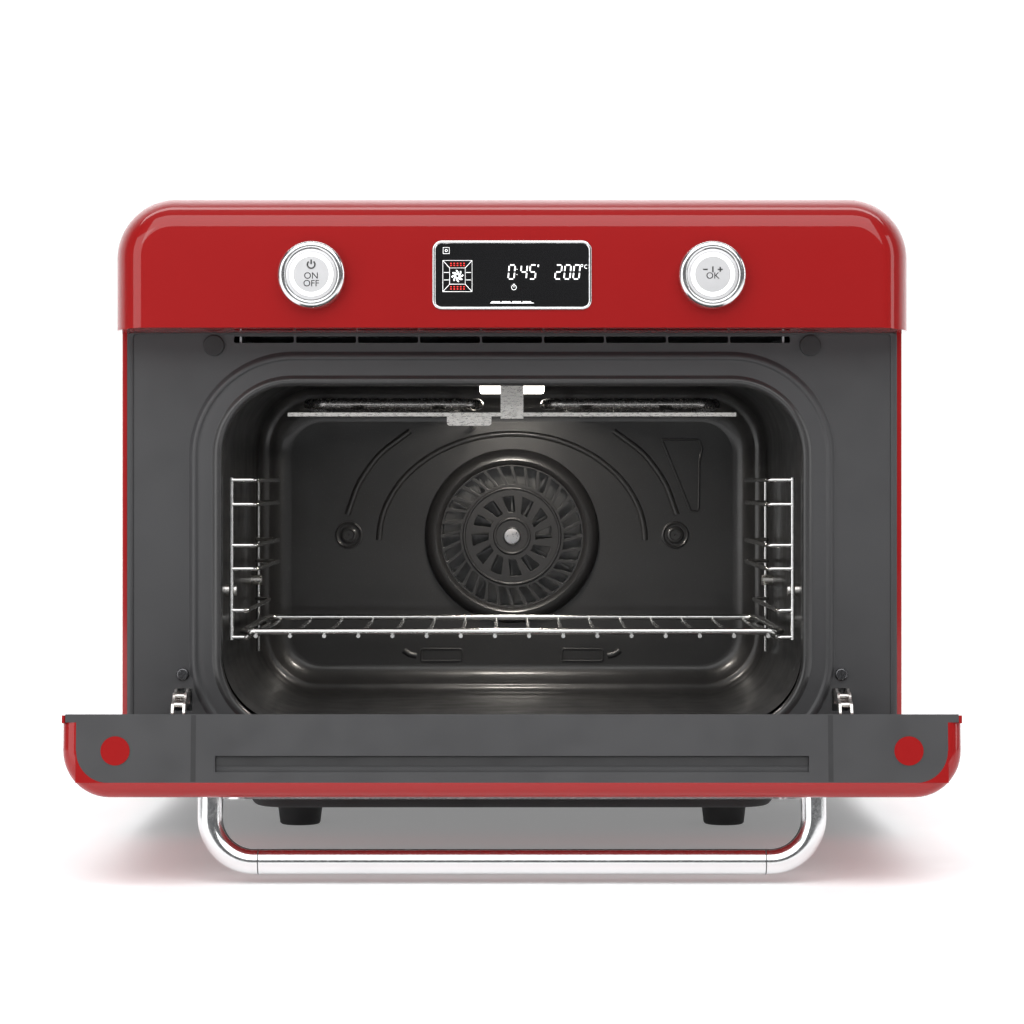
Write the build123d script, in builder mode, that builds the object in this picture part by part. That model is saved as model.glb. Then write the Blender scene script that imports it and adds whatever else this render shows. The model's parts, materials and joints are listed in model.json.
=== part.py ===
"""Countertop convection oven with a drop-down door, shown with the door open.

Millimetres, +Z up, front towards -Y. The origin is on the worktop under the middle of the open oven.
Depths are measured from the front frame's face, positive towards the back.
"""

import os
from math import cos, radians, sin

from build123d import *

# ---------------------------------------------------------------- driving dimensions
frame_y = -43.4  # Y of the front frame's face; the open oven is centred on Y = 0
casing_half = 245.8  # half width of the red casing
casing_depth = 350.0
casing_bottom, casing_top = 24.5, 398.3
casing_corner = 36.3
sheet = 1.2
plate = 1.5
running_gap = 0.05

panel_wall = 1.7
panel_half = casing_half + panel_wall
panel_bottom = 316.8
panel_top = casing_top + panel_wall
panel_corner = casing_corner + panel_wall
panel_front = 47.5  # how far the fascia stands in front of the frame
panel_overlap = 12.0
panel_round = 20.0

control_z = 350.2
control_x = 123.2
dial_radius, dial_bore, dial_height = 20.75, 15.9, 8.5
cap_radius, cap_height = 15.8, 8.0
glow_outer, glow_inner = 13.5, 11.0
display_w, display_h, display_corner = 98.3, 42.9, 6.0

mouth_half, mouth_bottom, mouth_top, mouth_corner = 182.5, 68.3, 283.3, 44.0
surround_half, surround_bottom, surround_top, surround_corner = 203.7, 47.0, 305.0, 66.0
surround_height = 3.0
seal_width = 5.0
floor_step, roof_rise = 2.0, 8.0  # the cavity's floor and roof stand this far above the mouth's edges
cavity_depth = 300.0
fan_z = 183.6
fan_radius = 50.0

hinge_depth, hinge_z = -12.0, 61.0
open_angle = 84.5
door_half = panel_half
door_top, door_tail = 253.7, -6.5
door_inner, door_outer = -5.5, 35.5
door_round = 26.0
door_rim = -10.0
shell_wall = 3.0
cap_margin, cap_thick = 8.0, 4.0

handle_x, handle_v, handle_reach = 167.5, 229.7, 71.0
handle_radius, handle_bend = 7.0, 24.5
bolt_radius, bolt_length, bolt_head, bolt_head_height = 2.5, 11.0, 5.0, 2.5

wire = 1.5
rack_x, rack_inset = 178.0, 16.0
rack_levels = ((124.2, 141.2), (167.6, 182.5), (208.5, 224.0))
shelf_half, shelf_front, shelf_back, shelf_z = 174.0, 15.0, 235.0, 127.7

foot_height = 16.5
os.makedirs("parts", exist_ok=True)


# ---------------------------------------------------------------- planes and outlines
def front_plane(depth):
    """Upright plane facing the front, this far behind the frame's face. Sketches are in X and Z."""
    return Plane(origin=(0, frame_y + depth, 0), x_dir=(1, 0, 0), z_dir=(0, -1, 0))


def level_plane(height):
    """Horizontal plane at a height, with its origin under the frame's face. Sketches are in X and depth."""
    return Plane(origin=(0, frame_y, height), x_dir=(1, 0, 0), z_dir=(0, 0, 1))


def side_plane(x):
    """Upright plane facing +X. Sketches are in depth and Z."""
    return Plane(origin=(x, frame_y, 0), x_dir=(0, 1, 0), z_dir=(1, 0, 0))


door_up = Vector(0, -sin(radians(open_angle)), cos(radians(open_angle)))
door_out = Vector(0, -cos(radians(open_angle)), -sin(radians(open_angle)))
hinge_point = Vector(0, frame_y + hinge_depth, hinge_z)


def door_plane(w):
    """Plane parallel to the door, w outwards from the hinge axis. Sketches are in X and distance up."""
    return Plane(origin=hinge_point + door_out * w, x_dir=(1, 0, 0), z_dir=door_out)


def door_section(x):
    """Plane across the door facing -X. Sketches are in distance outwards and distance up."""
    return Plane(origin=hinge_point + Vector(x, 0, 0), x_dir=door_out, z_dir=(-1, 0, 0))


def arch(plane, half, bottom, top, radius):
    """Outline with square feet and two rounded upper corners."""
    with BuildSketch(plane) as outline:
        with Locations((0, (bottom + top) / 2)):
            Rectangle(2 * half, top - bottom)
        fillet(outline.vertices().group_by(Axis.Y)[-1], radius)
    return outline.sketch


def window(plane, half, bottom, top, radius, centre=0):
    """Rounded rectangle, centred on X = 0 unless a centre is given."""
    with BuildSketch(plane) as outline:
        with Locations((centre, (bottom + top) / 2)):
            RectangleRounded(2 * half, top - bottom, radius)
    return outline.sketch


def box_between(plane, low, high):
    """Rectangle between two corners."""
    with BuildSketch(plane) as outline:
        with Locations(((low[0] + high[0]) / 2, (low[1] + high[1]) / 2)):
            Rectangle(high[0] - low[0], high[1] - low[1])
    return outline.sketch


def discs(plane, radius, places):
    """Equal discs at several places."""
    with BuildSketch(plane) as outline:
        with Locations(*places):
            Circle(radius)
    return outline.sketch


def tube(path, radius):
    """Round rod along a path, made at the path's own start."""
    with BuildPart() as rod:
        with BuildSketch(Plane(origin=path @ 0, z_dir=path % 0)):
            Circle(radius)
        sweep(path=path)
    return rod.part


def finish(piece, name):
    """Label a sub-part and write it."""
    piece.part.label = name
    export_step(piece.part, f"parts/{name}.step")


both_sides = (-1, 1)

# ---------------------------------------------------------------- casing
hem = 3.2
with BuildPart() as outer_shell:
    extrude(arch(front_plane(0), casing_half, casing_bottom, casing_top, casing_corner),
            amount=-casing_depth)
    extrude(
        arch(front_plane(plate), casing_half - sheet, casing_bottom, casing_top - sheet,
             casing_corner - sheet),
        amount=plate - casing_depth,
        mode=Mode.SUBTRACT,
    )
    extrude(
        arch(front_plane(0), casing_half - hem, casing_bottom, casing_top - hem, casing_corner - hem),
        amount=-plate,
        mode=Mode.SUBTRACT,
    )
finish(outer_shell, "outer_shell")

inlet_x, inlet_z, inlet_w, inlet_h, inlet_corner = 150.0, 70.0, 27.0, 19.0, 3.0
louvre_rows, louvre_length, louvre_height, louvre_pitch = 7, 90.0, 4.0, 11.0
louvre_x, louvre_z = 115.0, 300.0
back_screw_x, back_screw_heights = 232.0, (42, 140, 250, 350)
back_screw_places = [(x * back_screw_x, z) for x in both_sides for z in back_screw_heights]
with BuildPart() as back_cover:
    back_margin = 1.0
    extrude(
        arch(front_plane(casing_depth), casing_half - back_margin, casing_bottom + back_margin,
             casing_top - back_margin, casing_corner - back_margin),
        amount=-plate,
    )
    with BuildSketch(front_plane(casing_depth)):
        for side in both_sides:
            with Locations((side * louvre_x, louvre_z)):
                with GridLocations(0, louvre_pitch, 1, louvre_rows):
                    SlotOverall(louvre_length, louvre_height)
        with Locations((inlet_x, inlet_z)):
            RectangleRounded(inlet_w, inlet_h, inlet_corner)
    extrude(amount=-plate, mode=Mode.SUBTRACT)
finish(back_cover, "back_cover")

back_head, back_head_height, back_socket = 3.6, 2.0, 1.2
with BuildPart() as back_screws:
    extrude(discs(front_plane(casing_depth + plate), back_head, back_screw_places), amount=-back_head_height)
    extrude(discs(front_plane(casing_depth + plate + back_head_height), back_socket, back_screw_places),
            amount=back_head_height / 2,
            mode=Mode.SUBTRACT)
finish(back_screws, "back_screws")

side_vent_x, side_vent_depth, side_vents, side_vent_pitch = 205.0, 175.0, 12, 16.0
side_vent_length, side_vent_width = 40.0, 4.0
with BuildPart() as base_plate:
    base_half = casing_half - sheet
    extrude(box_between(level_plane(casing_bottom), (-base_half, plate), (base_half, casing_depth)),
            amount=plate)
    with BuildSketch(level_plane(casing_bottom)):
        with Locations(*[(side * side_vent_x, side_vent_depth) for side in both_sides]):
            with GridLocations(0, side_vent_pitch, 1, side_vents):
                SlotOverall(side_vent_length, side_vent_width)
    extrude(amount=plate, mode=Mode.SUBTRACT)
finish(base_plate, "base_plate")

pan_half, pan_front, pan_back = 166.5, 5.0, 330.0
pan_corner, pan_round, pan_wall = 24.0, 6.0, 7.0
with BuildPart() as base_pan:
    pan_height = casing_bottom - foot_height
    with BuildSketch(level_plane(foot_height)):
        with Locations((0, (pan_front + pan_back) / 2)):
            RectangleRounded(2 * pan_half, pan_back - pan_front, pan_corner)
    extrude(amount=pan_height)
    fillet(base_pan.faces().sort_by(Axis.Z)[0].edges(), pan_round)
    with BuildSketch(level_plane(foot_height + plate)):
        with Locations((0, (pan_front + pan_back) / 2)):
            RectangleRounded(2 * (pan_half - pan_wall), pan_back - pan_front - 2 * pan_wall,
                             pan_corner - pan_wall)
    extrude(amount=pan_height - plate, mode=Mode.SUBTRACT)
finish(base_pan, "base_pan")

foot_x, foot_depths, foot_radius, foot_draft, foot_round = 138.0, (70, 295), 13.0, -7.0, 2.0
foot_places = [(side * foot_x, y) for side in both_sides for y in foot_depths]
with BuildPart() as feet:
    for place in foot_places:
        with BuildSketch(level_plane(0)):
            with Locations(place):
                Circle(foot_radius)
        extrude(amount=foot_height, taper=foot_draft)
    fillet(feet.edges().group_by(Axis.Z)[0], foot_round)
finish(feet, "feet")

inlet_depth, inlet_flange, inlet_recess, inlet_wall = 22.0, 2.5, 18.0, 1.5
inlet_rim, inlet_gap, inlet_bore_corner = 3.0, 0.1, 1.3
prong_half_w, prong_half_h, prong_length = 1.0, 2.0, 12.0
prong_places = ((-7.0, -1.5), (7.0, -1.5), (0.0, 2.5))
with BuildPart() as power_inlet:
    flange_face = casing_depth + plate + inlet_flange
    body_half, body_rise = inlet_w / 2 - inlet_gap, inlet_h / 2 - inlet_gap
    extrude(window(front_plane(flange_face), body_half + inlet_rim, inlet_z - body_rise - inlet_rim,
                   inlet_z + body_rise + inlet_rim, inlet_corner, inlet_x), amount=inlet_flange)
    extrude(window(front_plane(flange_face), body_half, inlet_z - body_rise, inlet_z + body_rise,
                   inlet_corner - inlet_gap, inlet_x), amount=inlet_depth)
    extrude(window(front_plane(flange_face), body_half - inlet_wall, inlet_z - body_rise + inlet_wall,
                   inlet_z + body_rise - inlet_wall, inlet_bore_corner, inlet_x), amount=inlet_recess,
            mode=Mode.SUBTRACT)
    for prong_x, prong_z in prong_places:
        low = (inlet_x + prong_x - prong_half_w, inlet_z + prong_z - prong_half_h)
        high = (low[0] + 2 * prong_half_w, low[1] + 2 * prong_half_h)
        extrude(box_between(front_plane(flange_face - inlet_recess), low, high), amount=-prong_length)
finish(power_inlet, "power_inlet")


# ---------------------------------------------------------------- control panel
def fascia_block(inset, back):
    """Solid of the fascia with its edges rounded at the front, made smaller by an inset."""
    front = panel_front - inset
    with BuildPart() as block:
        extrude(
            arch(front_plane(-front), panel_half - inset, panel_bottom + inset, panel_top - inset,
                 panel_corner - inset),
            amount=-(front + back),
        )
        face_edges = block.faces().sort_by(Axis.Y)[0].edges()
        fillet(face_edges.sort_by(Axis.Z)[1:], panel_round - inset)
    return block.part


with BuildPart() as control_panel_shell:
    add(fascia_block(0, panel_overlap))
    add(fascia_block(panel_wall, panel_overlap), mode=Mode.SUBTRACT)
    extrude(box_between(front_plane(0), (-casing_half, panel_bottom),
                        (casing_half, panel_bottom + panel_wall)),
            amount=-panel_overlap, mode=Mode.SUBTRACT)
    extrude(window(front_plane(-panel_front), display_w / 2, control_z - display_h / 2,
                   control_z + display_h / 2, display_corner), amount=-panel_wall, mode=Mode.SUBTRACT)
    control_places = [(x * control_x, control_z) for x in both_sides]
    extrude(discs(front_plane(-panel_front), dial_bore, control_places), amount=-panel_wall,
            mode=Mode.SUBTRACT)
finish(control_panel_shell, "control_panel_shell")

bezel_rim, bezel_proud, bezel_tuck, bezel_round = 2.0, 1.2, 6.0, 0.8
with BuildPart() as display_bezel:
    display_low, display_high = control_z - display_h / 2, control_z + display_h / 2
    extrude(window(front_plane(-panel_front - bezel_proud), display_w / 2, display_low, display_high,
                   display_corner), amount=-(bezel_proud + bezel_tuck))
    fillet(display_bezel.faces().sort_by(Axis.Y)[0].edges(), bezel_round)
    extrude(window(front_plane(-panel_front - bezel_proud), display_w / 2 - bezel_rim,
                   display_low + bezel_rim, display_high - bezel_rim, display_corner - bezel_rim),
            amount=-(bezel_proud + bezel_tuck), mode=Mode.SUBTRACT)
finish(display_bezel, "display_bezel")

glass_front, display_glass_thick = -panel_front - 0.3, 2.5
with BuildPart() as display_glass:
    extrude(window(front_plane(glass_front), display_w / 2 - bezel_rim, display_low + bezel_rim,
                   display_high - bezel_rim, display_corner - bezel_rim),
            amount=-display_glass_thick)
finish(display_glass, "display_glass")

board_thick = 1.6
with BuildPart() as display_board:
    board_face, board_half, board_rise = glass_front + 10.0, 62.0, 26.0
    module_half, module_rise, module_height = 44.0, 17.0, 7.0
    extrude(box_between(front_plane(board_face), (-board_half, control_z - board_rise),
                        (board_half, control_z + board_rise)), amount=-board_thick)
    extrude(box_between(front_plane(board_face), (-module_half, control_z - module_rise),
                        (module_half, control_z + module_rise)), amount=module_height)
finish(display_board, "display_board")

# Each control is a dial ring around a cap that pushes in; the ring's sleeve turns in the fascia's hole.
ring_back = -panel_front - 0.4
ring_round, bore_chamfer, cap_clearance, cap_round = 2.2, 0.6, 0.25, 0.5
sleeve_outer, sleeve_inner, sleeve_length, ring_floor = dial_bore - 0.05, 14.6, 8.0, 2.0
cap_plate, stem_radius, glow_depth = 3.0, 3.0, 1.0
with BuildPart() as control_encoders:
    encoder_face, encoder_half, encoder_height = -26.0, 19.0, 8.0
    switch_radius, switch_height = 4.0, 7.0
    for side in both_sides:
        low = (side * control_x - encoder_half, control_z - encoder_half)
        high = (side * control_x + encoder_half, control_z + encoder_half)
        extrude(box_between(front_plane(encoder_face), low, high), amount=encoder_height)
    extrude(discs(front_plane(encoder_face - encoder_height), switch_radius, control_places),
            amount=switch_height)
finish(control_encoders, "control_encoders")


def dial_ring(centre_x):
    """Metal ring with a rounded outer edge and a crisp bore."""
    with BuildPart() as ring:
        with BuildSketch(front_plane(ring_back)):
            with Locations((centre_x, control_z)):
                Circle(dial_radius)
                Circle(cap_radius + cap_clearance, mode=Mode.SUBTRACT)
        extrude(amount=dial_height)
        front_edges = ring.faces().sort_by(Axis.Y)[0].edges().sort_by(SortBy.LENGTH)
        fillet(front_edges[-1], ring_round)
        chamfer(front_edges[0], bore_chamfer)
        with BuildSketch(front_plane(ring_back - ring_floor)):
            with Locations((centre_x, control_z)):
                Circle(sleeve_outer)
                Circle(sleeve_inner, mode=Mode.SUBTRACT)
        extrude(amount=-(ring_floor + sleeve_length))
        with BuildSketch(front_plane(ring_back - ring_floor)):
            with Locations((centre_x, control_z)):
                Circle(cap_radius + 1)
                Circle(sleeve_inner, mode=Mode.SUBTRACT)
        extrude(amount=-ring_floor)
    return ring


def push_cap(centre_x):
    """Slightly crowned cap with a groove that carries the light ring, on a stem towards the switch."""
    with BuildPart() as cap:
        extrude(discs(front_plane(ring_back - cap_height + cap_plate), cap_radius, [(centre_x, control_z)]),
                amount=cap_plate)
        fillet(cap.faces().sort_by(Axis.Y)[0].edges(), cap_round)
        with BuildSketch(front_plane(ring_back - cap_height)):
            with Locations((centre_x, control_z)):
                Circle(glow_outer)
                Circle(glow_inner, mode=Mode.SUBTRACT)
        extrude(amount=-glow_depth, mode=Mode.SUBTRACT)
        extrude(discs(front_plane(ring_back - cap_height + cap_plate), stem_radius, [(centre_x, control_z)]),
                amount=-(cap_height + 1))
    return cap


def glow_ring(centre_x):
    """Flat translucent ring that fills the groove in the cap."""
    with BuildPart() as ring:
        with BuildSketch(front_plane(ring_back - cap_height + glow_depth)):
            with Locations((centre_x, control_z)):
                Circle(glow_outer)
                Circle(glow_inner, mode=Mode.SUBTRACT)
        extrude(amount=glow_depth)
    return ring


for side, centre_x in (("left", -control_x), ("right", control_x)):
    finish(dial_ring(centre_x), f"{side}_dial_ring")
    finish(push_cap(centre_x), f"{side}_push_cap")
    finish(glow_ring(centre_x), f"{side}_glow_ring")

# ---------------------------------------------------------------- front frame and cavity
frame_half, frame_lip, lip_height = 242.6, 4.0, 1.2
vent_half, vent_low, vent_high = 176.0, 310.4, 314.6
vent_bars, vent_bar = 9, 1.2
arm_x, arm_half, arm_gap = 207.0, 4.5, 0.9
arm_slot_low, arm_slot_high = 78.5, 92.8
bumper_x, bumper_z, bumper_radius, bumper_neck = 188.0, 308.8, 6.75, 3.7
bumper_places = [(x * bumper_x, bumper_z) for x in both_sides]
frame_screw_places = [(x * 207.6, 101.5) for x in both_sides]
top_lip, surround_edge = 1.0, 0.6

with BuildPart() as front_frame:
    extrude(box_between(front_plane(0), (-frame_half, casing_bottom + plate), (frame_half, panel_bottom)),
            amount=-plate)
    extrude(box_between(front_plane(0), (-frame_half, casing_bottom + plate), (frame_half, panel_bottom)),
            amount=lip_height)
    extrude(box_between(front_plane(-lip_height),
                        (-frame_half + frame_lip, casing_bottom + plate + frame_lip),
                        (frame_half - frame_lip, panel_bottom - top_lip)),
            amount=-lip_height, mode=Mode.SUBTRACT)
    extrude(window(front_plane(0), surround_half, surround_bottom, surround_top, surround_corner),
            amount=surround_height)
    outer_ring = front_frame.faces().sort_by(Axis.Y)[0].edges()
    chamfer(outer_ring, surround_height - surround_edge)
    extrude(window(front_plane(-surround_height), mouth_half + seal_width, mouth_bottom - seal_width,
                   mouth_top + seal_width, mouth_corner + seal_width),
            amount=-(surround_height + plate), mode=Mode.SUBTRACT)
    for side in both_sides:
        arm_slot = box_between(front_plane(0), (side * arm_x - arm_half - arm_gap, arm_slot_low),
                               (side * arm_x + arm_half + arm_gap, arm_slot_high))
        extrude(arm_slot, amount=-plate, mode=Mode.SUBTRACT)
    extrude(box_between(front_plane(0), (-vent_half, vent_low), (vent_half, vent_high)), amount=-plate,
            mode=Mode.SUBTRACT)
    extrude(discs(front_plane(0), bumper_neck + running_gap, bumper_places), amount=-plate,
            mode=Mode.SUBTRACT)
finish(front_frame, "front_frame")

with BuildPart() as vent_grille:
    grille_face, grille_thick, grille_side, grille_drop = plate + 0.2, 3.0, 4.0, 3.0
    extrude(box_between(front_plane(grille_face), (-vent_half - grille_side, vent_low - grille_drop),
                        (vent_half + grille_side, panel_bottom)), amount=-grille_thick)
    with BuildSketch(front_plane(grille_face)):
        with Locations((0, (vent_low + vent_high) / 2)):
            slot_pitch = 2 * vent_half / vent_bars
            with GridLocations(slot_pitch, 0, vent_bars, 1):
                Rectangle(slot_pitch - vent_bar, vent_high - vent_low)
    extrude(amount=-grille_thick, mode=Mode.SUBTRACT)
finish(vent_grille, "vent_grille")

with BuildPart() as frame_bumpers:
    bumper_height = 1.8
    extrude(discs(front_plane(0), bumper_radius, bumper_places), amount=bumper_height)
    fillet(frame_bumpers.faces().group_by(Axis.Y)[0].edges(), bumper_height / 2)
    extrude(discs(front_plane(0), bumper_neck, bumper_places), amount=-plate)
finish(frame_bumpers, "frame_bumpers")

with BuildPart() as frame_screws:
    screw_head, screw_height, screw_round = 4.0, 2.0, 1.2
    cross_length, cross_width = 4.8, 0.9
    extrude(discs(front_plane(0), screw_head, frame_screw_places), amount=screw_height)
    fillet(frame_screws.faces().group_by(Axis.Y)[0].edges(), screw_round)
    with BuildSketch(front_plane(-screw_height)):
        with Locations(*frame_screw_places):
            Rectangle(cross_length, cross_width)
            Rectangle(cross_width, cross_length)
    extrude(amount=-screw_height / 2, mode=Mode.SUBTRACT)
finish(frame_screws, "frame_screws")

with BuildPart() as cavity_seal:
    seal_height, seal_round = 4.2, 2.0
    extrude(window(front_plane(plate), mouth_half + seal_width, mouth_bottom - seal_width,
                   mouth_top + seal_width, mouth_corner + seal_width), amount=plate + seal_height)
    extrude(window(front_plane(plate), mouth_half, mouth_bottom, mouth_top, mouth_corner),
            amount=plate + seal_height, mode=Mode.SUBTRACT)
    fillet(cavity_seal.faces().sort_by(Axis.Y)[0].edges(), seal_round)
finish(cavity_seal, "cavity_seal")

liner_half, liner_corner = mouth_half, mouth_corner
liner_bottom, liner_top = mouth_bottom + floor_step, mouth_top + roof_rise
lamp_half, lamp_front, lamp_back = 22.0, 150.0, 190.0
element_radius, element_z, element_bend = 3.5, 273.5, 14.0
near_run, far_run, last_run = 64.0, 98.0, 132.0
outer_end, inner_end, fold_end, return_x = 133.0, 22.2, 105.0, 40.0
probe_x, probe_z, probe_radius = -27.5, 262.0, 1.5
with BuildPart() as cavity_liner:
    liner_flange = 12.0
    extrude(window(front_plane(plate), liner_half + liner_flange, liner_bottom - liner_flange,
                   liner_top + liner_flange, liner_corner + liner_flange), amount=-sheet)
    extrude(window(front_plane(plate), liner_half + sheet, liner_bottom - sheet, liner_top + sheet,
                   liner_corner + sheet), amount=-(cavity_depth - plate))
    extrude(window(front_plane(plate), liner_half, liner_bottom, liner_top, liner_corner),
            amount=-(cavity_depth - plate), mode=Mode.SUBTRACT)
    extrude(box_between(level_plane(liner_top), (-lamp_half, lamp_front), (lamp_half, lamp_back)),
            amount=sheet, mode=Mode.SUBTRACT)
finish(cavity_liner, "cavity_liner")

rear_dish, dish_edge, fan_hole = 18.0, 2.0, 54.0
rib_arcs, rib_drop, rib_width, rib_height = ((96.0, 100, 72), (135.0, 128, 44)), 10.0, 5.0, 2.5
flat_half, flat_bottom = liner_half - 20.6, liner_bottom + 18.2
flat_top, flat_corner = liner_top - 22.5, 26.0
with BuildPart() as cavity_back_panel:
    extrude(window(front_plane(cavity_depth), liner_half + sheet, liner_bottom - sheet, liner_top + sheet,
                   liner_corner + sheet), amount=-plate)
    fit_gap = 0.05
    extrude(window(front_plane(cavity_depth), liner_half - fit_gap, liner_bottom + fit_gap,
                   liner_top - fit_gap, liner_corner - fit_gap), amount=rear_dish)
    extrude(window(front_plane(cavity_depth), flat_half, flat_bottom, flat_top, flat_corner),
            amount=rear_dish, mode=Mode.SUBTRACT)
    inner_rim = cavity_back_panel.faces().sort_by(Axis.Y)[0].inner_wires()[0].edges()
    chamfer(inner_rim, rear_dish - dish_edge)
    extrude(discs(front_plane(cavity_depth), fan_hole, [(0, fan_z)]), amount=-plate, mode=Mode.SUBTRACT)
    for rib_radius, start, sweep_angle in rib_arcs:
        for mirror_x in both_sides:
            with BuildSketch(front_plane(cavity_depth)):
                with BuildLine(Plane.XY):
                    first = start if mirror_x < 0 else 180 - start
                    CenterArc((0, fan_z - rib_drop), rib_radius, first, -mirror_x * sweep_angle)
                trace(line_width=rib_width)
            extrude(amount=rib_height)
    element_ends = [(side * x, element_z) for side in both_sides for x in (outer_end, return_x)]
    extrude(discs(front_plane(cavity_depth - rear_dish), element_radius + fit_gap, element_ends),
            amount=-(rear_dish + plate), mode=Mode.SUBTRACT)
    extrude(discs(front_plane(cavity_depth - rear_dish), probe_radius + fit_gap, [(probe_x, probe_z)]),
            amount=-(rear_dish + plate), mode=Mode.SUBTRACT)
finish(cavity_back_panel, "cavity_back_panel")

with BuildPart() as fan_cover:
    cover_rim, cover_height, cover_slope, cover_bore = 63.0, 8.0, 5.0, 52.0
    cover_slots, cover_slot_length, cover_slot_width, hub_hole = ((42.0, 16), (28.0, 12)), 11.0, 4.0, 6.0
    extrude(discs(front_plane(cavity_depth), cover_rim, [(0, fan_z)]), amount=cover_height)
    chamfer(fan_cover.faces().sort_by(Axis.Y)[0].edges(), cover_slope)
    extrude(discs(front_plane(cavity_depth), cover_bore, [(0, fan_z)]), amount=cover_height - plate,
            mode=Mode.SUBTRACT)
    with BuildSketch(front_plane(cavity_depth - cover_height)):
        with Locations((0, fan_z)):
            for ring_radius, slots in cover_slots:
                with PolarLocations(ring_radius, slots):
                    SlotOverall(cover_slot_length, cover_slot_width)
            Circle(hub_hole)
    extrude(amount=-cover_height, mode=Mode.SUBTRACT)
finish(fan_cover, "fan_cover")

# ---------------------------------------------------------------- convection fan
shaft_radius = 4.0
housing_radius, housing_depth = 70.0, 18.0
panel_back = cavity_depth + plate
motor_front = panel_back + housing_depth + 1.0
with BuildPart() as fan_housing:
    extrude(discs(front_plane(panel_back + housing_depth), housing_radius, [(0, fan_z)]),
            amount=housing_depth)
    chamfer(fan_housing.faces().sort_by(Axis.Y)[-1].edges(), 6)
    extrude(discs(front_plane(panel_back + housing_depth - sheet), housing_radius - 8, [(0, fan_z)]),
            amount=housing_depth, mode=Mode.SUBTRACT)
    extrude(discs(front_plane(panel_back + housing_depth), shaft_radius + running_gap, [(0, fan_z)]),
            amount=sheet, mode=Mode.SUBTRACT)
finish(fan_housing, "fan_housing")

fan_back = panel_back + 14.0
with BuildPart() as convection_fan:
    extrude(discs(front_plane(fan_back), fan_radius, [(0, fan_z)]), amount=sheet)
    with BuildSketch(front_plane(fan_back - sheet)):
        with Locations((0, fan_z)):
            with PolarLocations(fan_radius * 0.6, 12):
                Rectangle(fan_radius * 0.7, sheet)
    extrude(amount=10)
    extrude(discs(front_plane(fan_back), 11.0, [(0, fan_z)]), amount=13)
    extrude(discs(front_plane(fan_back), shaft_radius, [(0, fan_z)]), amount=-(motor_front - fan_back + 8))
finish(convection_fan, "convection_fan")

with BuildPart() as fan_motor:
    extrude(discs(front_plane(motor_front), 24.0, [(0, fan_z)]), amount=-26)
    fillet(fan_motor.edges().filter_by(GeomType.CIRCLE), 2)
    extrude(box_between(front_plane(motor_front), (-45, fan_z - 6), (45, fan_z + 6)), amount=-2)
    extrude(discs(front_plane(motor_front), shaft_radius + running_gap, [(0, fan_z)]), amount=-10,
            mode=Mode.SUBTRACT)
finish(fan_motor, "fan_motor")

# ---------------------------------------------------------------- heating, lamp and probe
with BuildPart() as upper_element:
    for side in both_sides:
        corners = [(outer_end, panel_back), (outer_end, near_run), (inner_end, near_run),
                   (inner_end, far_run), (fold_end, far_run), (fold_end, last_run), (return_x, last_run),
                   (return_x, panel_back)]
        with BuildLine() as route:
            FilletPolyline(*[(side * x, frame_y + y, element_z) for x, y in corners], radius=element_bend)
        add(tube(route.line, element_radius))
finish(upper_element, "upper_element")

bar_half, bar_front, bar_depth, bar_low, bar_thick = 144.0, 38.0, 8.0, 264.9, 2.4
with BuildPart() as element_support_bar:
    extrude(box_between(level_plane(bar_low), (-bar_half, bar_front), (bar_half, bar_front + bar_depth)),
            amount=bar_thick)
    for side in both_sides:
        for tab_x in (48, 100):
            tab_low = (side * tab_x - 4, bar_front + bar_depth)
            extrude(box_between(level_plane(bar_low), tab_low, (tab_low[0] + 8, near_run + element_radius)),
                    amount=bar_thick)
finish(element_support_bar, "element_support_bar")

strip, bracket_foot, bracket_hook, clip_width, clip_height = 1.5, 14.0, 10.0, 6.0, 1.4
with BuildPart() as element_bracket:
    bracket_half, bracket_front = 7.3, bar_front - 2.0
    bracket_low = bar_low - strip
    extrude(box_between(front_plane(bracket_front), (-bracket_half, bracket_low), (bracket_half, liner_top)),
            amount=-strip)
    extrude(box_between(front_plane(bracket_front), (-bracket_half, liner_top - strip),
                        (bracket_half, liner_top)), amount=-bracket_foot)
    extrude(box_between(front_plane(bracket_front), (-bracket_half, bracket_low), (bracket_half, bar_low)),
            amount=-bracket_hook)
    with BuildSketch(front_plane(bracket_front)):
        with Locations((0, bar_low + bar_thick / 2)):
            Rectangle(clip_width, clip_height)
    extrude(amount=-strip, mode=Mode.SUBTRACT)
finish(element_bracket, "element_bracket")

with BuildPart() as lower_element:
    lower_z = liner_bottom - sheet - element_radius - 0.5
    corners = [(140, panel_back), (140, 50), (50, 50), (50, 240), (-50, 240), (-50, 50), (-140, 50),
               (-140, panel_back)]
    with BuildLine() as route:
        FilletPolyline(*[(x, frame_y + y, lower_z) for x, y in corners], radius=25)
    add(tube(route.line, element_radius))
finish(lower_element, "lower_element")

lens_bottom, lens_wall = liner_top - 8.0, 1.5
lamp_top = liner_top + 10.0
lens_clear, lens_round, lamp_rim, lamp_wall = 0.1, 1.4, 3.0, 4.0
with BuildPart() as lamp_lens:
    lens_half = lamp_half - lens_clear
    lens_low, lens_high = (-lens_half, lamp_front + lens_clear), (lens_half, lamp_back - lens_clear)
    lens_height = liner_top + sheet - lens_bottom
    extrude(box_between(level_plane(lens_bottom), lens_low, lens_high), amount=lens_height)
    fillet(lamp_lens.edges().group_by(Axis.Z)[0], lens_round)
    extrude(box_between(level_plane(lens_bottom + lens_wall), (lens_low[0] + lamp_rim, lens_low[1] + lamp_rim),
                        (lens_high[0] - lamp_rim, lens_high[1] - lamp_rim)), amount=lens_height,
            mode=Mode.SUBTRACT)
finish(lamp_lens, "lamp_lens")

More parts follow.
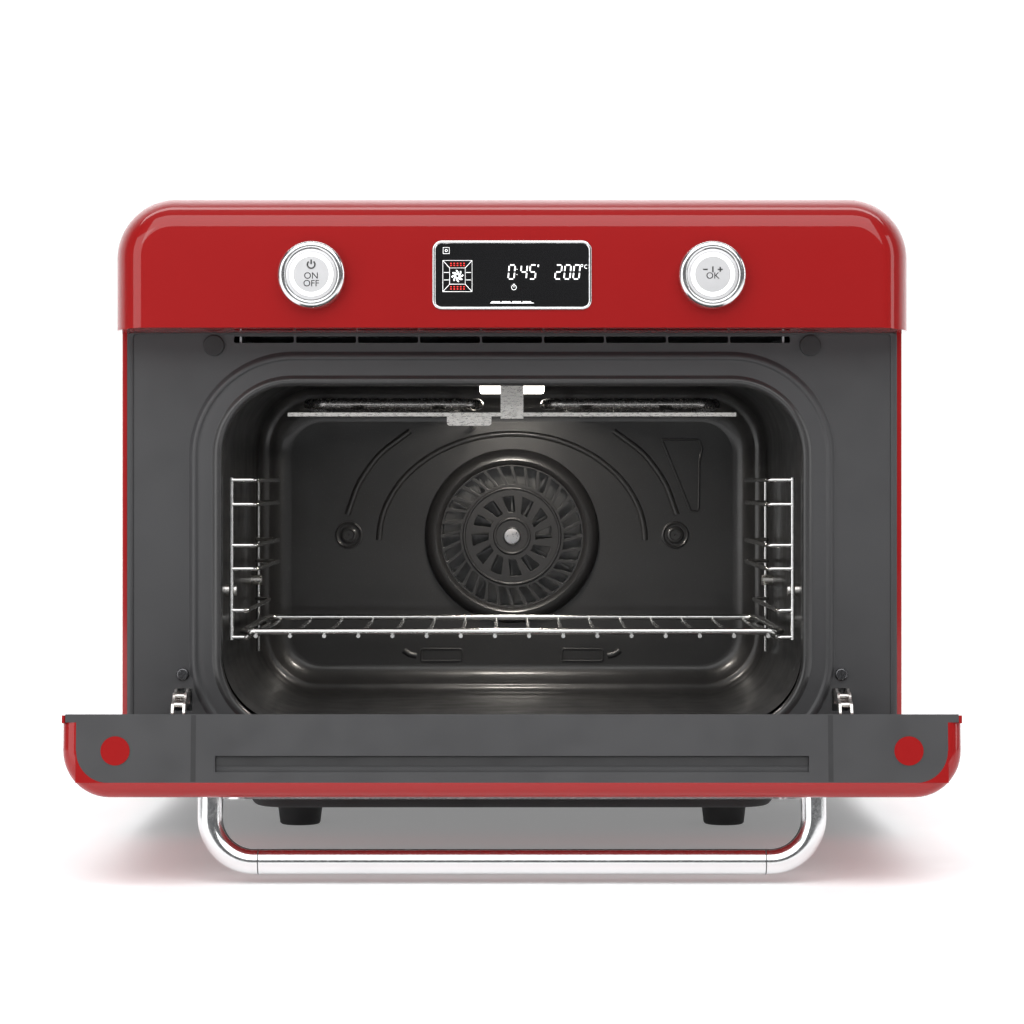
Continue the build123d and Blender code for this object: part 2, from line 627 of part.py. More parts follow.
with BuildPart() as lamp_housing:
    housing_base = liner_top + sheet
    extrude(box_between(level_plane(housing_base), (-lamp_half - lamp_rim, lamp_front - lamp_rim),
                        (lamp_half + lamp_rim, lamp_back + lamp_rim)), amount=lamp_top - housing_base)
    extrude(box_between(level_plane(housing_base), (-lamp_half + lamp_wall, lamp_front + lamp_wall),
                        (lamp_half - lamp_wall, lamp_back - lamp_wall)),
            amount=lamp_top - housing_base - lamp_wall / 2, mode=Mode.SUBTRACT)
finish(lamp_housing, "lamp_housing")

with BuildPart() as lamp_bulb:
    bulb_z, bulb_y = liner_top, (lamp_front + lamp_back) / 2
    bulb_half, bulb_radius, bulb_round, pinch_depth, pinch_height = 12.0, 4.5, 3.0, 5.0, 7.0
    with BuildSketch(Plane(origin=(-bulb_half, frame_y + bulb_y, bulb_z), z_dir=(1, 0, 0))):
        Circle(bulb_radius)
    extrude(amount=2 * bulb_half)
    fillet(lamp_bulb.edges().filter_by(GeomType.CIRCLE), bulb_round)
    with BuildSketch(Plane(origin=(-lamp_half + lamp_wall, frame_y + bulb_y, bulb_z), z_dir=(1, 0, 0))):
        Rectangle(pinch_depth, pinch_height)
    extrude(amount=lamp_half - lamp_wall - bulb_half)
finish(lamp_bulb, "lamp_bulb")

with BuildPart() as temperature_probe:
    tab_left, tab_right, tab_bottom = -41.8, -13.2, 258.9
    extrude(box_between(front_plane(bar_front), (tab_left, tab_bottom), (tab_right, bar_low)), amount=-1.5)
    fillet(temperature_probe.edges().filter_by(Axis.Y).group_by(Axis.Z)[0], 2)
    extrude(discs(front_plane(bar_front + 1.5), probe_radius, [(probe_x, probe_z)]),
            amount=bar_front + 1.5 - panel_back)
finish(temperature_probe, "temperature_probe")

with BuildPart() as insulation_wrap:
    blanket, blanket_bottom, blanket_front, blanket_back = 9.0, 115.0, 6.0, 295.0
    extrude(arch(front_plane(blanket_front), liner_half + sheet + blanket, blanket_bottom,
                 liner_top + sheet + blanket, liner_corner + sheet + blanket), amount=blanket_front - blanket_back)
    extrude(arch(front_plane(blanket_front), liner_half + sheet, blanket_bottom, liner_top + sheet,
                 liner_corner + sheet), amount=blanket_front - blanket_back, mode=Mode.SUBTRACT)
    extrude(box_between(level_plane(liner_top), (-lamp_half - lamp_rim, lamp_front - lamp_rim),
                        (lamp_half + lamp_rim, lamp_back + lamp_rim)), amount=2 * blanket, mode=Mode.SUBTRACT)
finish(insulation_wrap, "insulation_wrap")

# ---------------------------------------------------------------- racks and shelf
rack_front, rack_back, rack_hook_z, runner_wire = 12.0, 233.0, 104.0, 1.4


def side_rack(side):
    """Wire ladder: two uprights joined by pairs of runners that stand in from the wall."""
    with BuildPart() as rack:
        top = rack_levels[-1][-1]
        bottom = rack_levels[0][0]
        for y, low in ((rack_front, bottom - wire), (rack_back, rack_hook_z)):
            with BuildSketch(Plane.XY.offset(low)):
                with Locations((side * rack_x, frame_y + y)):
                    Circle(wire)
            extrude(amount=top + wire - low)
        for level, pair in enumerate(rack_levels):
            inset = rack_inset if level else 10.0
            for z in pair:
                corners = [(rack_x, rack_front), (rack_x - inset, rack_front), (rack_x - inset, 205),
                           (rack_x, 218), (rack_x, rack_back)]
                with BuildLine() as route:
                    FilletPolyline(*[(side * x, frame_y + y, z) for x, y in corners], radius=4)
                add(tube(route.line, runner_wire))
    return rack


finish(side_rack(-1), "side_rack_left")
finish(side_rack(1), "side_rack_right")

with BuildPart() as rack_fixings:
    for side in both_sides:
        stud_length = liner_half - rack_x + 3.0
        for stud_y in (rack_front + wire + 3.5, rack_back - wire - 3.5):
            with BuildSketch(Plane(origin=(side * liner_half, frame_y + stud_y, 154), z_dir=(-side, 0, 0))):
                Circle(3.5)
            extrude(amount=stud_length)
finish(rack_fixings, "rack_fixings")

with BuildPart() as wire_shelf:
    frame_wire, bar_wire, bar_count = 2.0, 1.3, 16
    bar_pitch = 21.7
    side_x, front_y, back_y = shelf_half - frame_wire, shelf_front + frame_wire, shelf_back - frame_wire
    corners = [(0, front_y), (side_x, front_y), (side_x, back_y), (0, back_y)]
    with BuildLine() as route:
        FilletPolyline(*[(x, frame_y + y, shelf_z) for x, y in corners], radius=10)
    add(tube(route.line, frame_wire))
    mirror(about=Plane.YZ)
    bar_z = shelf_z - frame_wire - bar_wire + 0.5
    with BuildSketch(front_plane(shelf_front)):
        with Locations((0, bar_z)):
            with GridLocations(bar_pitch, 0, bar_count, 1):
                Circle(bar_wire)
    extrude(amount=shelf_front - shelf_back)
finish(wire_shelf, "wire_shelf")

# ---------------------------------------------------------------- parts behind the panels
duct_half, duct_low, duct_high, duct_front, duct_back = 172.0, 303.0, 316.0, 4.8, 122.0
volute_half, volute_high, volute_back, wheel_y = 66.0, 345.0, 246.0, 184.0
with BuildPart() as blower_housing:
    extrude(box_between(level_plane(duct_low), (-duct_half, duct_front), (duct_half, duct_back)),
            amount=duct_high - duct_low)
    extrude(box_between(level_plane(duct_low), (-volute_half, duct_back), (volute_half, volute_back)),
            amount=volute_high - duct_low)
    extrude(box_between(level_plane(duct_low + sheet), (-duct_half + sheet, duct_front),
                        (duct_half - sheet, duct_back - sheet)),
            amount=duct_high - duct_low - 2 * sheet, mode=Mode.SUBTRACT)
    extrude(box_between(level_plane(duct_low + sheet), (-volute_half + sheet, duct_back + sheet),
                        (volute_half - sheet, volute_back - sheet)),
            amount=volute_high - duct_low - 2 * sheet, mode=Mode.SUBTRACT)
    extrude(box_between(level_plane(duct_low + sheet), (-50, duct_back - sheet), (50, duct_back + sheet)),
            amount=duct_high - duct_low - 2 * sheet, mode=Mode.SUBTRACT)
    with BuildSketch(level_plane(duct_low)):
        with Locations((0, wheel_y)):
            Circle(36)
    extrude(amount=sheet, mode=Mode.SUBTRACT)
    with BuildSketch(level_plane(volute_high - sheet)):
        with Locations((0, wheel_y)):
            Circle(shaft_radius + running_gap)
    extrude(amount=sheet, mode=Mode.SUBTRACT)
finish(blower_housing, "blower_housing")

wheel_low, wheel_high, wheel_radius = 309.0, 338.0, 48.0
with BuildPart() as blower_wheel:
    with BuildSketch(level_plane(wheel_high)):
        with Locations((0, wheel_y)):
            Circle(wheel_radius)
    extrude(amount=sheet)
    with BuildSketch(level_plane(wheel_low)):
        with Locations((0, wheel_y)):
            with PolarLocations(wheel_radius - 8, 18):
                Rectangle(14, sheet)
            Circle(10)
    extrude(amount=wheel_high - wheel_low)
    with BuildSketch(level_plane(wheel_high)):
        with Locations((0, wheel_y)):
            Circle(shaft_radius)
    extrude(amount=18)
finish(blower_wheel, "blower_wheel")

with BuildPart() as blower_motor:
    with BuildSketch(level_plane(volute_high)):
        with Locations((0, wheel_y)):
            Circle(22)
            Circle(shaft_radius + running_gap, mode=Mode.SUBTRACT)
    extrude(amount=24)
finish(blower_motor, "blower_motor")

with BuildPart() as power_board:
    board_x, board_thick, standoff = 226.0, 1.6, 4.0
    extrude(box_between(side_plane(board_x), (100, 120), (260, 285)), amount=board_thick)
    for low, high, height in (((112, 130), (140, 165), 14), ((150, 130), (185, 150), 10),
                              ((200, 140), (240, 190), 12), ((115, 200), (135, 235), 9),
                              ((160, 190), (175, 240), 11), ((190, 210), (245, 222), 8)):
        extrude(box_between(side_plane(board_x), low, high), amount=-height)
    with BuildSketch(side_plane(board_x + board_thick)):
        with Locations((108, 128), (252, 128), (108, 277), (252, 277)):
            Circle(standoff)
    extrude(amount=casing_half - sheet - board_x - board_thick)
finish(power_board, "power_board")

housing_half, housing_wall, housing_back = 6.4, 1.2, 44.0
housing_low, housing_high = 36.0, 98.0
with BuildPart() as hinge_housings:
    for side in both_sides:
        centre = side * arm_x
        outer_half = housing_half + housing_wall
        extrude(box_between(front_plane(plate), (centre - outer_half, housing_low),
                            (centre + outer_half, housing_high)), amount=plate - housing_back)
        extrude(box_between(front_plane(plate), (centre - housing_half, housing_low + housing_wall),
                            (centre + housing_half, housing_high - housing_wall)),
                amount=plate - housing_back + housing_wall, mode=Mode.SUBTRACT)
finish(hinge_housings, "hinge_housings")

pin_x, lug_half, lug_radius, pin_radius, pin_half = 224.0, 3.0, 5.0, 2.2, 8.0
with BuildPart() as hinge_brackets:
    for side in both_sides:
        with BuildSketch(side_plane(side * pin_x - lug_half)):
            with Locations((hinge_depth, hinge_z)):
                Circle(lug_radius)
            with Locations((hinge_depth / 2, hinge_z)):
                Rectangle(-hinge_depth, 2 * lug_radius)
            with Locations((hinge_depth, hinge_z)):
                Circle(pin_radius + running_gap, mode=Mode.SUBTRACT)
        extrude(amount=2 * lug_half)
finish(hinge_brackets, "hinge_brackets")

# ---------------------------------------------------------------- door
def door_block(inset, bottom, top, inner, outer, top_round):
    """Door body between two depths, with its outer face rounded off at the sides, bottom and top."""
    half, round_edge = door_half - inset, door_round - inset
    with BuildPart() as block:
        extrude(box_between(door_plane(inner), (-half, bottom), (half, top)), amount=outer - inner)
        outer_face = block.faces().sort_by(Axis(hinge_point, door_out))[-1]
        rising = outer_face.edges().sort_by(Axis(hinge_point, door_up))
        fillet(rising[:3], round_edge)
        if top_round:
            outer_face = block.faces().sort_by(Axis(hinge_point, door_out))[-1]
            fillet(outer_face.edges().sort_by(Axis(hinge_point, door_up))[-1:], top_round)
    return block.part


view_half, view_low, view_high, view_corner = 168.0, 42.0, 205.0, 22.0
handle_places = [(x * handle_x, handle_v) for x in both_sides]
notch_side, notch_reach = lug_half + 1.0, 6.5
with BuildPart() as door_outer_shell:
    add(door_block(0, door_tail, door_top, door_inner, door_outer, 8.0))
    add(door_block(shell_wall, door_tail + shell_wall, door_top - cap_thick, door_inner,
                   door_outer - shell_wall, 0), mode=Mode.SUBTRACT)
    extrude(box_between(door_plane(door_inner), (-door_half + cap_margin, door_top - cap_thick),
                        (door_half - cap_margin, door_top)),
            amount=door_outer - cap_margin - door_inner, mode=Mode.SUBTRACT)
    extrude(window(door_plane(door_outer), view_half, view_low, view_high, view_corner),
            amount=-shell_wall, mode=Mode.SUBTRACT)
    extrude(discs(door_plane(door_outer), bolt_radius + 2 * running_gap, handle_places), amount=-shell_wall,
            mode=Mode.SUBTRACT)
    for side in both_sides:
        extrude(box_between(door_plane(door_inner), (side * pin_x - notch_side, door_tail),
                            (side * pin_x + notch_side, notch_reach)),
                amount=notch_reach - door_inner, mode=Mode.SUBTRACT)
finish(door_outer_shell, "door_outer_shell")

face_thick, rim_height, rim_side = 3.0, 9.0, 2.0
cheek_half, cheek_top, cheek_depth = 2.0, 9.0, 10.0
slot_half, slot_near, slot_far, slot_deep = 163.0, 12.8, 21.7, 2.5
pane_half, pane_low, pane_high, pane_corner, pane_lap = 150.0, 38.0, 212.0, 16.0, 12.0
plug_x, plug_w, plug_radius, plug_seat, plug_proud = 217.9, 10.1, 8.0, 2.0, 0.4
with BuildPart() as door_inner_frame:
    inner_half = door_half - shell_wall
    extrude(box_between(door_plane(door_inner), (-inner_half, door_tail + shell_wall),
                        (inner_half, door_top - cap_thick)), amount=face_thick)
    extrude(box_between(door_plane(door_rim), (-door_half + rim_side, door_top - rim_height),
                        (door_half - rim_side, door_top)), amount=door_inner - door_rim)
    extrude(box_between(door_plane(door_inner), (-door_half + cap_margin, door_top - cap_thick),
                        (door_half - cap_margin, door_top)), amount=door_outer - cap_margin - door_inner)
    cap_face = Plane(origin=hinge_point + door_up * door_top, x_dir=(1, 0, 0), z_dir=door_up)
    extrude(box_between(cap_face, (-slot_half, -slot_far), (slot_half, -slot_near)), amount=-slot_deep,
            mode=Mode.SUBTRACT)
    with BuildSketch(cap_face):
        with Locations((-plug_x, -plug_w), (plug_x, -plug_w)):
            Circle(plug_radius)
    extrude(amount=-plug_seat, mode=Mode.SUBTRACT)
    extrude(window(door_plane(door_inner), pane_half, pane_low, pane_high, pane_corner), amount=face_thick,
            mode=Mode.SUBTRACT)
    for side in both_sides:
        for cheek in both_sides:
            middle = side * pin_x + cheek * (notch_side + cheek_half)
            extrude(box_between(door_plane(door_inner + face_thick),
                                (middle - cheek_half, door_tail + shell_wall),
                                (middle + cheek_half, cheek_top)), amount=cheek_depth)
        extrude(box_between(door_plane(door_inner), (side * pin_x - notch_side, door_tail),
                            (side * pin_x + notch_side, notch_reach)),
                amount=notch_reach - door_inner, mode=Mode.SUBTRACT)
        with BuildSketch(side_plane(side * pin_x - pin_half)):
            with Locations((hinge_depth, hinge_z)):
                Circle(pin_radius)
        extrude(amount=2 * pin_half, mode=Mode.SUBTRACT)
finish(door_inner_frame, "door_inner_frame")

with BuildPart() as hinge_pins:
    for side in both_sides:
        with BuildSketch(side_plane(side * pin_x - pin_half)):
            with Locations((hinge_depth, hinge_z)):
                Circle(pin_radius)
        extrude(amount=2 * pin_half)
finish(hinge_pins, "hinge_pins")

with BuildPart() as door_end_plugs:
    with BuildSketch(cap_face.offset(-plug_seat)):
        with Locations((-plug_x, -plug_w), (plug_x, -plug_w)):
            Circle(plug_radius)
    extrude(amount=plug_seat + plug_proud)
finish(door_end_plugs, "door_end_plugs")

glass_thick = 4.0
with BuildPart() as door_inner_glass:
    extrude(window(door_plane(door_inner + face_thick), pane_half + pane_lap, pane_low - pane_lap,
                   pane_high + pane_lap, pane_corner + cap_thick), amount=glass_thick)
finish(door_inner_glass, "door_inner_glass")

with BuildPart() as glass_clamps:
    clamp_x, clamp_half, clamp_rise, clamp_thick = 120.0, 12.0, 6.0, 2.0
    for side in both_sides:
        for clamp_v in (pane_low - pane_lap, pane_high + pane_lap):
            low = (side * clamp_x - clamp_half, clamp_v - clamp_rise)
            high = (side * clamp_x + clamp_half, clamp_v + clamp_rise)
            extrude(box_between(door_plane(door_inner + face_thick + glass_thick), low, high),
                    amount=clamp_thick)
finish(glass_clamps, "glass_clamps")

trim_width, trim_proud, trim_lap = 4.0, 1.0, 3.0
with BuildPart() as outer_glass_trim:
    extrude(window(door_plane(door_outer + trim_proud), view_half + trim_lap, view_low - trim_lap,
                   view_high + trim_lap, view_corner + trim_lap), amount=-trim_proud)
    extrude(window(door_plane(door_outer), view_half, view_low, view_high, view_corner), amount=-shell_wall)
    extrude(window(door_plane(door_outer + trim_proud), view_half + trim_lap - trim_width,
                   view_low - trim_lap + trim_width, view_high + trim_lap - trim_width,
                   view_corner + trim_lap - trim_width), amount=-(trim_proud + shell_wall),
            mode=Mode.SUBTRACT)
finish(outer_glass_trim, "outer_glass_trim")

with BuildPart() as door_outer_glass:
    reach = trim_lap - trim_width
    extrude(window(door_plane(door_outer + 0.4), view_half + reach, view_low - reach, view_high + reach,
                   view_corner + reach), amount=-glass_thick)
finish(door_outer_glass, "door_outer_glass")

with BuildPart() as door_handle:
    handle_line = [(-handle_x, door_outer), (-handle_x, handle_reach), (handle_x, handle_reach),
                   (handle_x, door_outer)]
    with BuildLine() as route:
        points = [hinge_point + Vector(x, 0, 0) + door_up * handle_v + door_out * w for x, w in handle_line]
        FilletPolyline(*points, radius=handle_bend)
    add(tube(route.line, handle_radius))
    extrude(discs(door_plane(door_outer), bolt_radius, handle_places), amount=bolt_length + 1,
            mode=Mode.SUBTRACT)
finish(door_handle, "door_handle")

with BuildPart() as handle_screws:
    extrude(discs(door_plane(door_outer - shell_wall), bolt_radius, handle_places),
            amount=shell_wall + bolt_length)
    extrude(discs(door_plane(door_outer - shell_wall - bolt_head_height), bolt_head, handle_places),
            amount=bolt_head_height)
finish(handle_screws, "handle_screws")

# Stay arms: arcs around the hinge axis that run with the door through the frame's slots.
arm_inner, arm_outer, arm_tail, reach = 24.0, 32.0, 118.0, 60.0
foot_side, foot_depth, foot_clear = 3.0, 2.5, 20.0
with BuildPart() as hinge_arms:
    for side in both_sides:
        with BuildSketch(door_section(side * arm_x + arm_half)) as arm_outline:
            Circle(arm_outer)
            Circle(arm_inner, mode=Mode.SUBTRACT)
            with BuildLine():
                Polyline((0, 0), (0, reach), (-reach, reach), (-reach, -reach),
                         (-reach * sin(radians(arm_tail)), reach * cos(radians(arm_tail))), (0, 0))
            make_face(mode=Mode.INTERSECT)
        extrude(amount=2 * arm_half)
        foot_start = (side * arm_x - arm_half - foot_side, arm_inner - 2 * foot_side)
        foot_end = (side * arm_x + arm_half + foot_side, arm_outer + 4 * foot_side)
        extrude(box_between(door_plane(door_inner - foot_depth), foot_start, foot_end), amount=foot_depth)
        extrude(box_between(door_plane(door_inner), foot_start, foot_end), amount=foot_clear,
                mode=Mode.SUBTRACT)
finish(hinge_arms, "hinge_arms")
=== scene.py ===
"""Looks for a countertop convection oven with a drop-down door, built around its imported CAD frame."""

import json
import math

import bmesh
import bpy
from mathutils import Matrix, Vector


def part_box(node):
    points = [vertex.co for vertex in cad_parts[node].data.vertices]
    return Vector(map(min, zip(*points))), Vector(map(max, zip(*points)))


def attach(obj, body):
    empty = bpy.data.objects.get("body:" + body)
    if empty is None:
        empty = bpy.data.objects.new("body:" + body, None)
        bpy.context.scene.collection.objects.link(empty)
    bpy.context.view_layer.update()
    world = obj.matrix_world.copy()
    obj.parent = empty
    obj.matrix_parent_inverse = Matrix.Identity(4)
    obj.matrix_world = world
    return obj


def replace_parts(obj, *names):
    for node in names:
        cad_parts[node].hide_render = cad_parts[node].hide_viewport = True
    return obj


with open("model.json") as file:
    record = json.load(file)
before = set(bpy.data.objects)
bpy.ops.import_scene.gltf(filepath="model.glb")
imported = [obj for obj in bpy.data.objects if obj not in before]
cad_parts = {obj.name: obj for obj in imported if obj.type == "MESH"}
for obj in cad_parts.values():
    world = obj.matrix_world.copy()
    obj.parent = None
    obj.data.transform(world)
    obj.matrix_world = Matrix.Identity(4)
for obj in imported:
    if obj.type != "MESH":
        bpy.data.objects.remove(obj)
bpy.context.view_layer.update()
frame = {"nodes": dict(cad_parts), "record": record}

MM = 0.001
TAU = 2 * math.pi
SIDES = (-1, 1)


def low(node):
    """Lowest corner of a CAD node."""
    return Vector(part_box(node)[0])


def high(node):
    """Highest corner of a CAD node."""
    return Vector(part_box(node)[1])


def middle(node):
    """Centre of a CAD node's box."""
    return (low(node) + high(node)) / 2


PLATE = 1.5 * MM  # thickness of the frame's sheet
FACE_Y = high("front_frame").y - PLATE  # the front frame's face
CASE_HALF = high("outer_shell").x
CASE_LOW, CASE_TOP = low("outer_shell").z, high("outer_shell").z
CASE_BACK = high("outer_shell").y
PANEL_HALF = high("control_panel_shell").x
PANEL_LOW, PANEL_TOP = low("control_panel_shell").z, high("control_panel_shell").z
PANEL_FRONT, PANEL_BACK = low("control_panel_shell").y, high("control_panel_shell").y
PANEL_CORNER, PANEL_ROUND, PANEL_DEEP = 38 * MM, 20 * MM, 38 * MM
SEAL_WIDTH = 5 * MM
MOUTH_HALF = high("cavity_seal").x - SEAL_WIDTH
MOUTH_LOW, MOUTH_TOP = low("cavity_seal").z + SEAL_WIDTH, high("cavity_seal").z - SEAL_WIDTH
MOUTH_CORNER = 44 * MM
CAVITY_BACK = low("fan_cover").y + 8 * MM
CONTROL_Z = middle("display_bezel").z
FAN_Z = middle("fan_cover").z


def hinge_joint():
    """The door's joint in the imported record."""
    return next(j for j in frame["record"]["behaviour"]["joints"] if j["name"] == "door_hinge")


HINGE = Vector(hinge_joint()["pos_m"])
OPEN_ANGLE = math.radians(-hinge_joint()["range_deg"][0])
DOOR_UP = Vector((0, -math.sin(OPEN_ANGLE), math.cos(OPEN_ANGLE)))
DOOR_OUT = Vector((0, -math.cos(OPEN_ANGLE), -math.sin(OPEN_ANGLE)))
DOOR_HALF = high("door_outer_shell").x


def door_point(x, v, w):
    """Point on the door: x across, v up from the hinge axis, w outwards."""
    return HINGE + Vector((x, 0, 0)) + DOOR_UP * v + DOOR_OUT * w


# ---------------------------------------------------------------- materials
class Shader:
    """Small helper around one node material with a Principled shader."""

    def __init__(self, name, **sockets):
        self.material = bpy.data.materials.new(name)
        self.material.use_nodes = True
        self.nodes = self.material.node_tree.nodes
        self.links = self.material.node_tree.links
        self.shader = self.nodes["Principled BSDF"]
        for socket, value in sockets.items():
            self.shader.inputs[socket.replace("_", " ")].default_value = value
        self.place = self.nodes.new("ShaderNodeTexCoord").outputs["Object"]

    def noise(self, scale, detail=3.0, stretch=None):
        """Noise in object space, stretched along an axis for brushed metal."""
        node = self.nodes.new("ShaderNodeTexNoise")
        node.inputs["Scale"].default_value = scale
        node.inputs["Detail"].default_value = detail
        source = self.place
        if stretch:
            mapping = self.nodes.new("ShaderNodeMapping")
            mapping.inputs["Scale"].default_value = stretch
            self.links.new(source, mapping.inputs["Vector"])
            source = mapping.outputs["Vector"]
        self.links.new(source, node.inputs["Vector"])
        return node.outputs["Fac"]

    def ramp(self, factor, stops, socket="Base Color"):
        """Colour ramp from a factor into a shader socket."""
        node = self.nodes.new("ShaderNodeValToRGB")
        ramp = node.color_ramp
        while len(ramp.elements) < len(stops):
            ramp.elements.new(0.5)
        for element, (place, colour) in zip(ramp.elements, stops):
            element.position = place
            element.color = (*colour, 1)
        self.links.new(factor, node.inputs["Fac"])
        self.links.new(node.outputs["Color"], self.shader.inputs[socket])
        return node.outputs["Color"]

    def spread(self, factor, lowest, highest, socket="Roughness"):
        """Map a factor from its middle range onto a shader socket."""
        node = self.nodes.new("ShaderNodeMapRange")
        node.inputs["From Min"].default_value = 0.3
        node.inputs["From Max"].default_value = 0.7
        node.inputs["To Min"].default_value = lowest
        node.inputs["To Max"].default_value = highest
        self.links.new(factor, node.inputs["Value"])
        self.links.new(node.outputs["Result"], self.shader.inputs[socket])

    def bump(self, factor, strength, distance):
        """Bump from a factor, distance in metres."""
        node = self.nodes.new("ShaderNodeBump")
        node.inputs["Strength"].default_value = strength
        node.inputs["Distance"].default_value = distance
        self.links.new(factor, node.inputs["Height"])
        self.links.new(node.outputs["Normal"], self.shader.inputs["Normal"])


def shade(colour, factor):
    """A colour made lighter or darker."""
    return tuple(min(1.0, channel * factor) for channel in colour)


def coated(name, colour, roughness, patch=9.0, grain=900.0, tint=0.06, bump=0.1, distance=0.00005,
           drift_share=0.18, **sockets):
    """Paint, enamel or plastic: soft colour drift, uneven gloss and a fine surface texture."""
    s = Shader(name, **sockets)
    drift = s.noise(patch, 4.0)
    s.ramp(drift, [(0.3, shade(colour, 1 - tint)), (0.7, shade(colour, 1 + tint))])
    s.spread(s.noise(patch * 5, 6.0), roughness * (1 - drift_share), roughness * (1 + drift_share))
    s.bump(s.noise(grain, 3.0), bump, distance)
    return s.material


def metal(name, colour, roughness, stretch=None, grain=700.0, tint=0.08, bump=0.06, **sockets):
    """Bare or plated metal, brushed along the axis with the smallest stretch."""
    s = Shader(name, Metallic=1.0, **sockets)
    lines = s.noise(grain, 4.0, stretch)
    s.ramp(s.noise(14.0, 5.0), [(0.3, shade(colour, 1 - tint)), (0.7, shade(colour, 1 + tint))])
    s.spread(lines, roughness * 0.7, roughness * 1.3)
    s.bump(lines, bump, 0.00003)
    return s.material


def enamel(name, colour, fleck, roughness, density=0.66):
    """Vitreous enamel: deep base with fine pale flecks and a wavy gloss."""
    s = Shader(name, Coat_Weight=0.35, Coat_Roughness=0.12)
    s.ramp(s.noise(1500.0, 2.0), [(0.0, colour), (density, colour), (density + 0.06, fleck)])
    s.spread(s.noise(40.0, 5.0), roughness * 0.8, roughness * 1.25)
    s.bump(s.noise(130.0, 3.0), 0.12, 0.00025)
    return s.material


def glass(name, colour, roughness, weight, alpha):
    """Tempered glass with faint smears in its gloss."""
    s = Shader(name, Transmission_Weight=weight, IOR=1.5, Alpha=alpha)
    s.ramp(s.noise(18.0, 4.0), [(0.3, shade(colour, 0.94)), (0.7, colour)])
    s.spread(s.noise(25.0, 6.0), roughness, roughness + 0.05)
    return s.material


def lit(name, colour, strength, low_share=0.85):
    """Self-lit translucent plastic or glass, slightly uneven."""
    s = Shader(name, Roughness=0.35, Emission_Strength=strength)
    s.ramp(s.noise(160.0, 2.0), [(0.3, shade(colour, low_share)), (0.7, colour)])
    s.ramp(s.noise(120.0, 2.0), [(0.3, shade(colour, low_share)), (0.7, colour)], "Emission Color")
    return s.material


MATERIALS = {
    "red_enamel": coated("red_enamel", (0.29, 0.003, 0.0034), 0.45, tint=0.015, grain=120.0, bump=0.01,
                         distance=0.00003, drift_share=0.04, Specular_IOR_Level=0.12, Coat_Weight=0.85, Coat_Roughness=0.02,
                         Coat_IOR=1.5),
    "dark_frame": coated("dark_frame", (0.043, 0.043, 0.045), 0.42, tint=0.08, grain=1400.0, bump=0.12),
    "cavity_enamel": enamel("cavity_enamel", (0.028, 0.0275, 0.028), (0.075, 0.074, 0.074), 0.36),
    "back_paint": coated("back_paint", (0.05, 0.05, 0.052), 0.6, grain=1100.0, bump=0.35, distance=0.00012),
    "polished_chrome": metal("polished_chrome", (0.78, 0.785, 0.79), 0.16, tint=0.03, bump=0.02),
    "satin_cap": coated("satin_cap", (0.62, 0.62, 0.63), 0.35, grain=900.0, bump=0.04, Metallic=0.35),
    "rack_wire": metal("rack_wire", (0.72, 0.72, 0.71), 0.2, tint=0.06, grain=300.0),
    "bright_steel": metal("bright_steel", (0.76, 0.74, 0.71), 0.3, stretch=(1, 5, 5), grain=300.0, tint=0.03,
                          bump=0.015),
    "zinc_sheet": metal("zinc_sheet", (0.5, 0.51, 0.52), 0.42, tint=0.15, grain=180.0),
    "element_metal": metal("element_metal", (0.42, 0.41, 0.4), 0.25, tint=0.06, grain=420.0, bump=0.03),
    "screw_steel": metal("screw_steel", (0.55, 0.55, 0.56), 0.33),
    "black_screw": metal("black_screw", (0.11, 0.11, 0.115), 0.3),
    "motor_metal": metal("motor_metal", (0.42, 0.42, 0.43), 0.45, stretch=(1, 1, 20)),
    "black_glass": coated("black_glass", (0.006, 0.006, 0.0065), 0.08, tint=0.2, bump=0.0, Coat_Weight=1.0,
                          Coat_Roughness=0.02),
    "door_glass": glass("door_glass", (0.55, 0.58, 0.58), 0.02, 0.6, 0.45),
    "smoked_glass": glass("smoked_glass", (0.012, 0.012, 0.013), 0.03, 0.2, 0.96),
    "lamp_glass": lit("lamp_glass", (1.0, 0.95, 0.86), 7.0),
    "white_glow": lit("white_glow", (1.0, 1.0, 1.0), 1.0, 0.97),
    "red_glow": lit("red_glow", (0.85, 0.03, 0.02), 1.0),
    "black_rubber": coated("black_rubber", (0.02, 0.02, 0.021), 0.65, grain=1600.0, bump=0.3),
    "dark_plastic": coated("dark_plastic", (0.03, 0.03, 0.032), 0.5, grain=1500.0, bump=0.25),
    "circuit_board": coated("circuit_board", (0.02, 0.11, 0.045), 0.35, tint=0.25, patch=60.0),
    "mineral_wool": coated("mineral_wool", (0.62, 0.58, 0.42), 0.9, tint=0.2, patch=50.0, grain=700.0,
                           bump=0.8,
                           distance=0.001),
}
SLOT_OF = {part["node"]: part["material_slot"] for part in frame["record"]["subparts"]}
for node_name, node_object in frame["nodes"].items():
    node_object.data.materials.clear()
    node_object.data.materials.append(MATERIALS[SLOT_OF[node_name]])
fan_blades = frame["nodes"]["convection_fan"].data
fan_blades.materials[0] = metal("fan_steel", (0.12, 0.12, 0.12), 0.4)


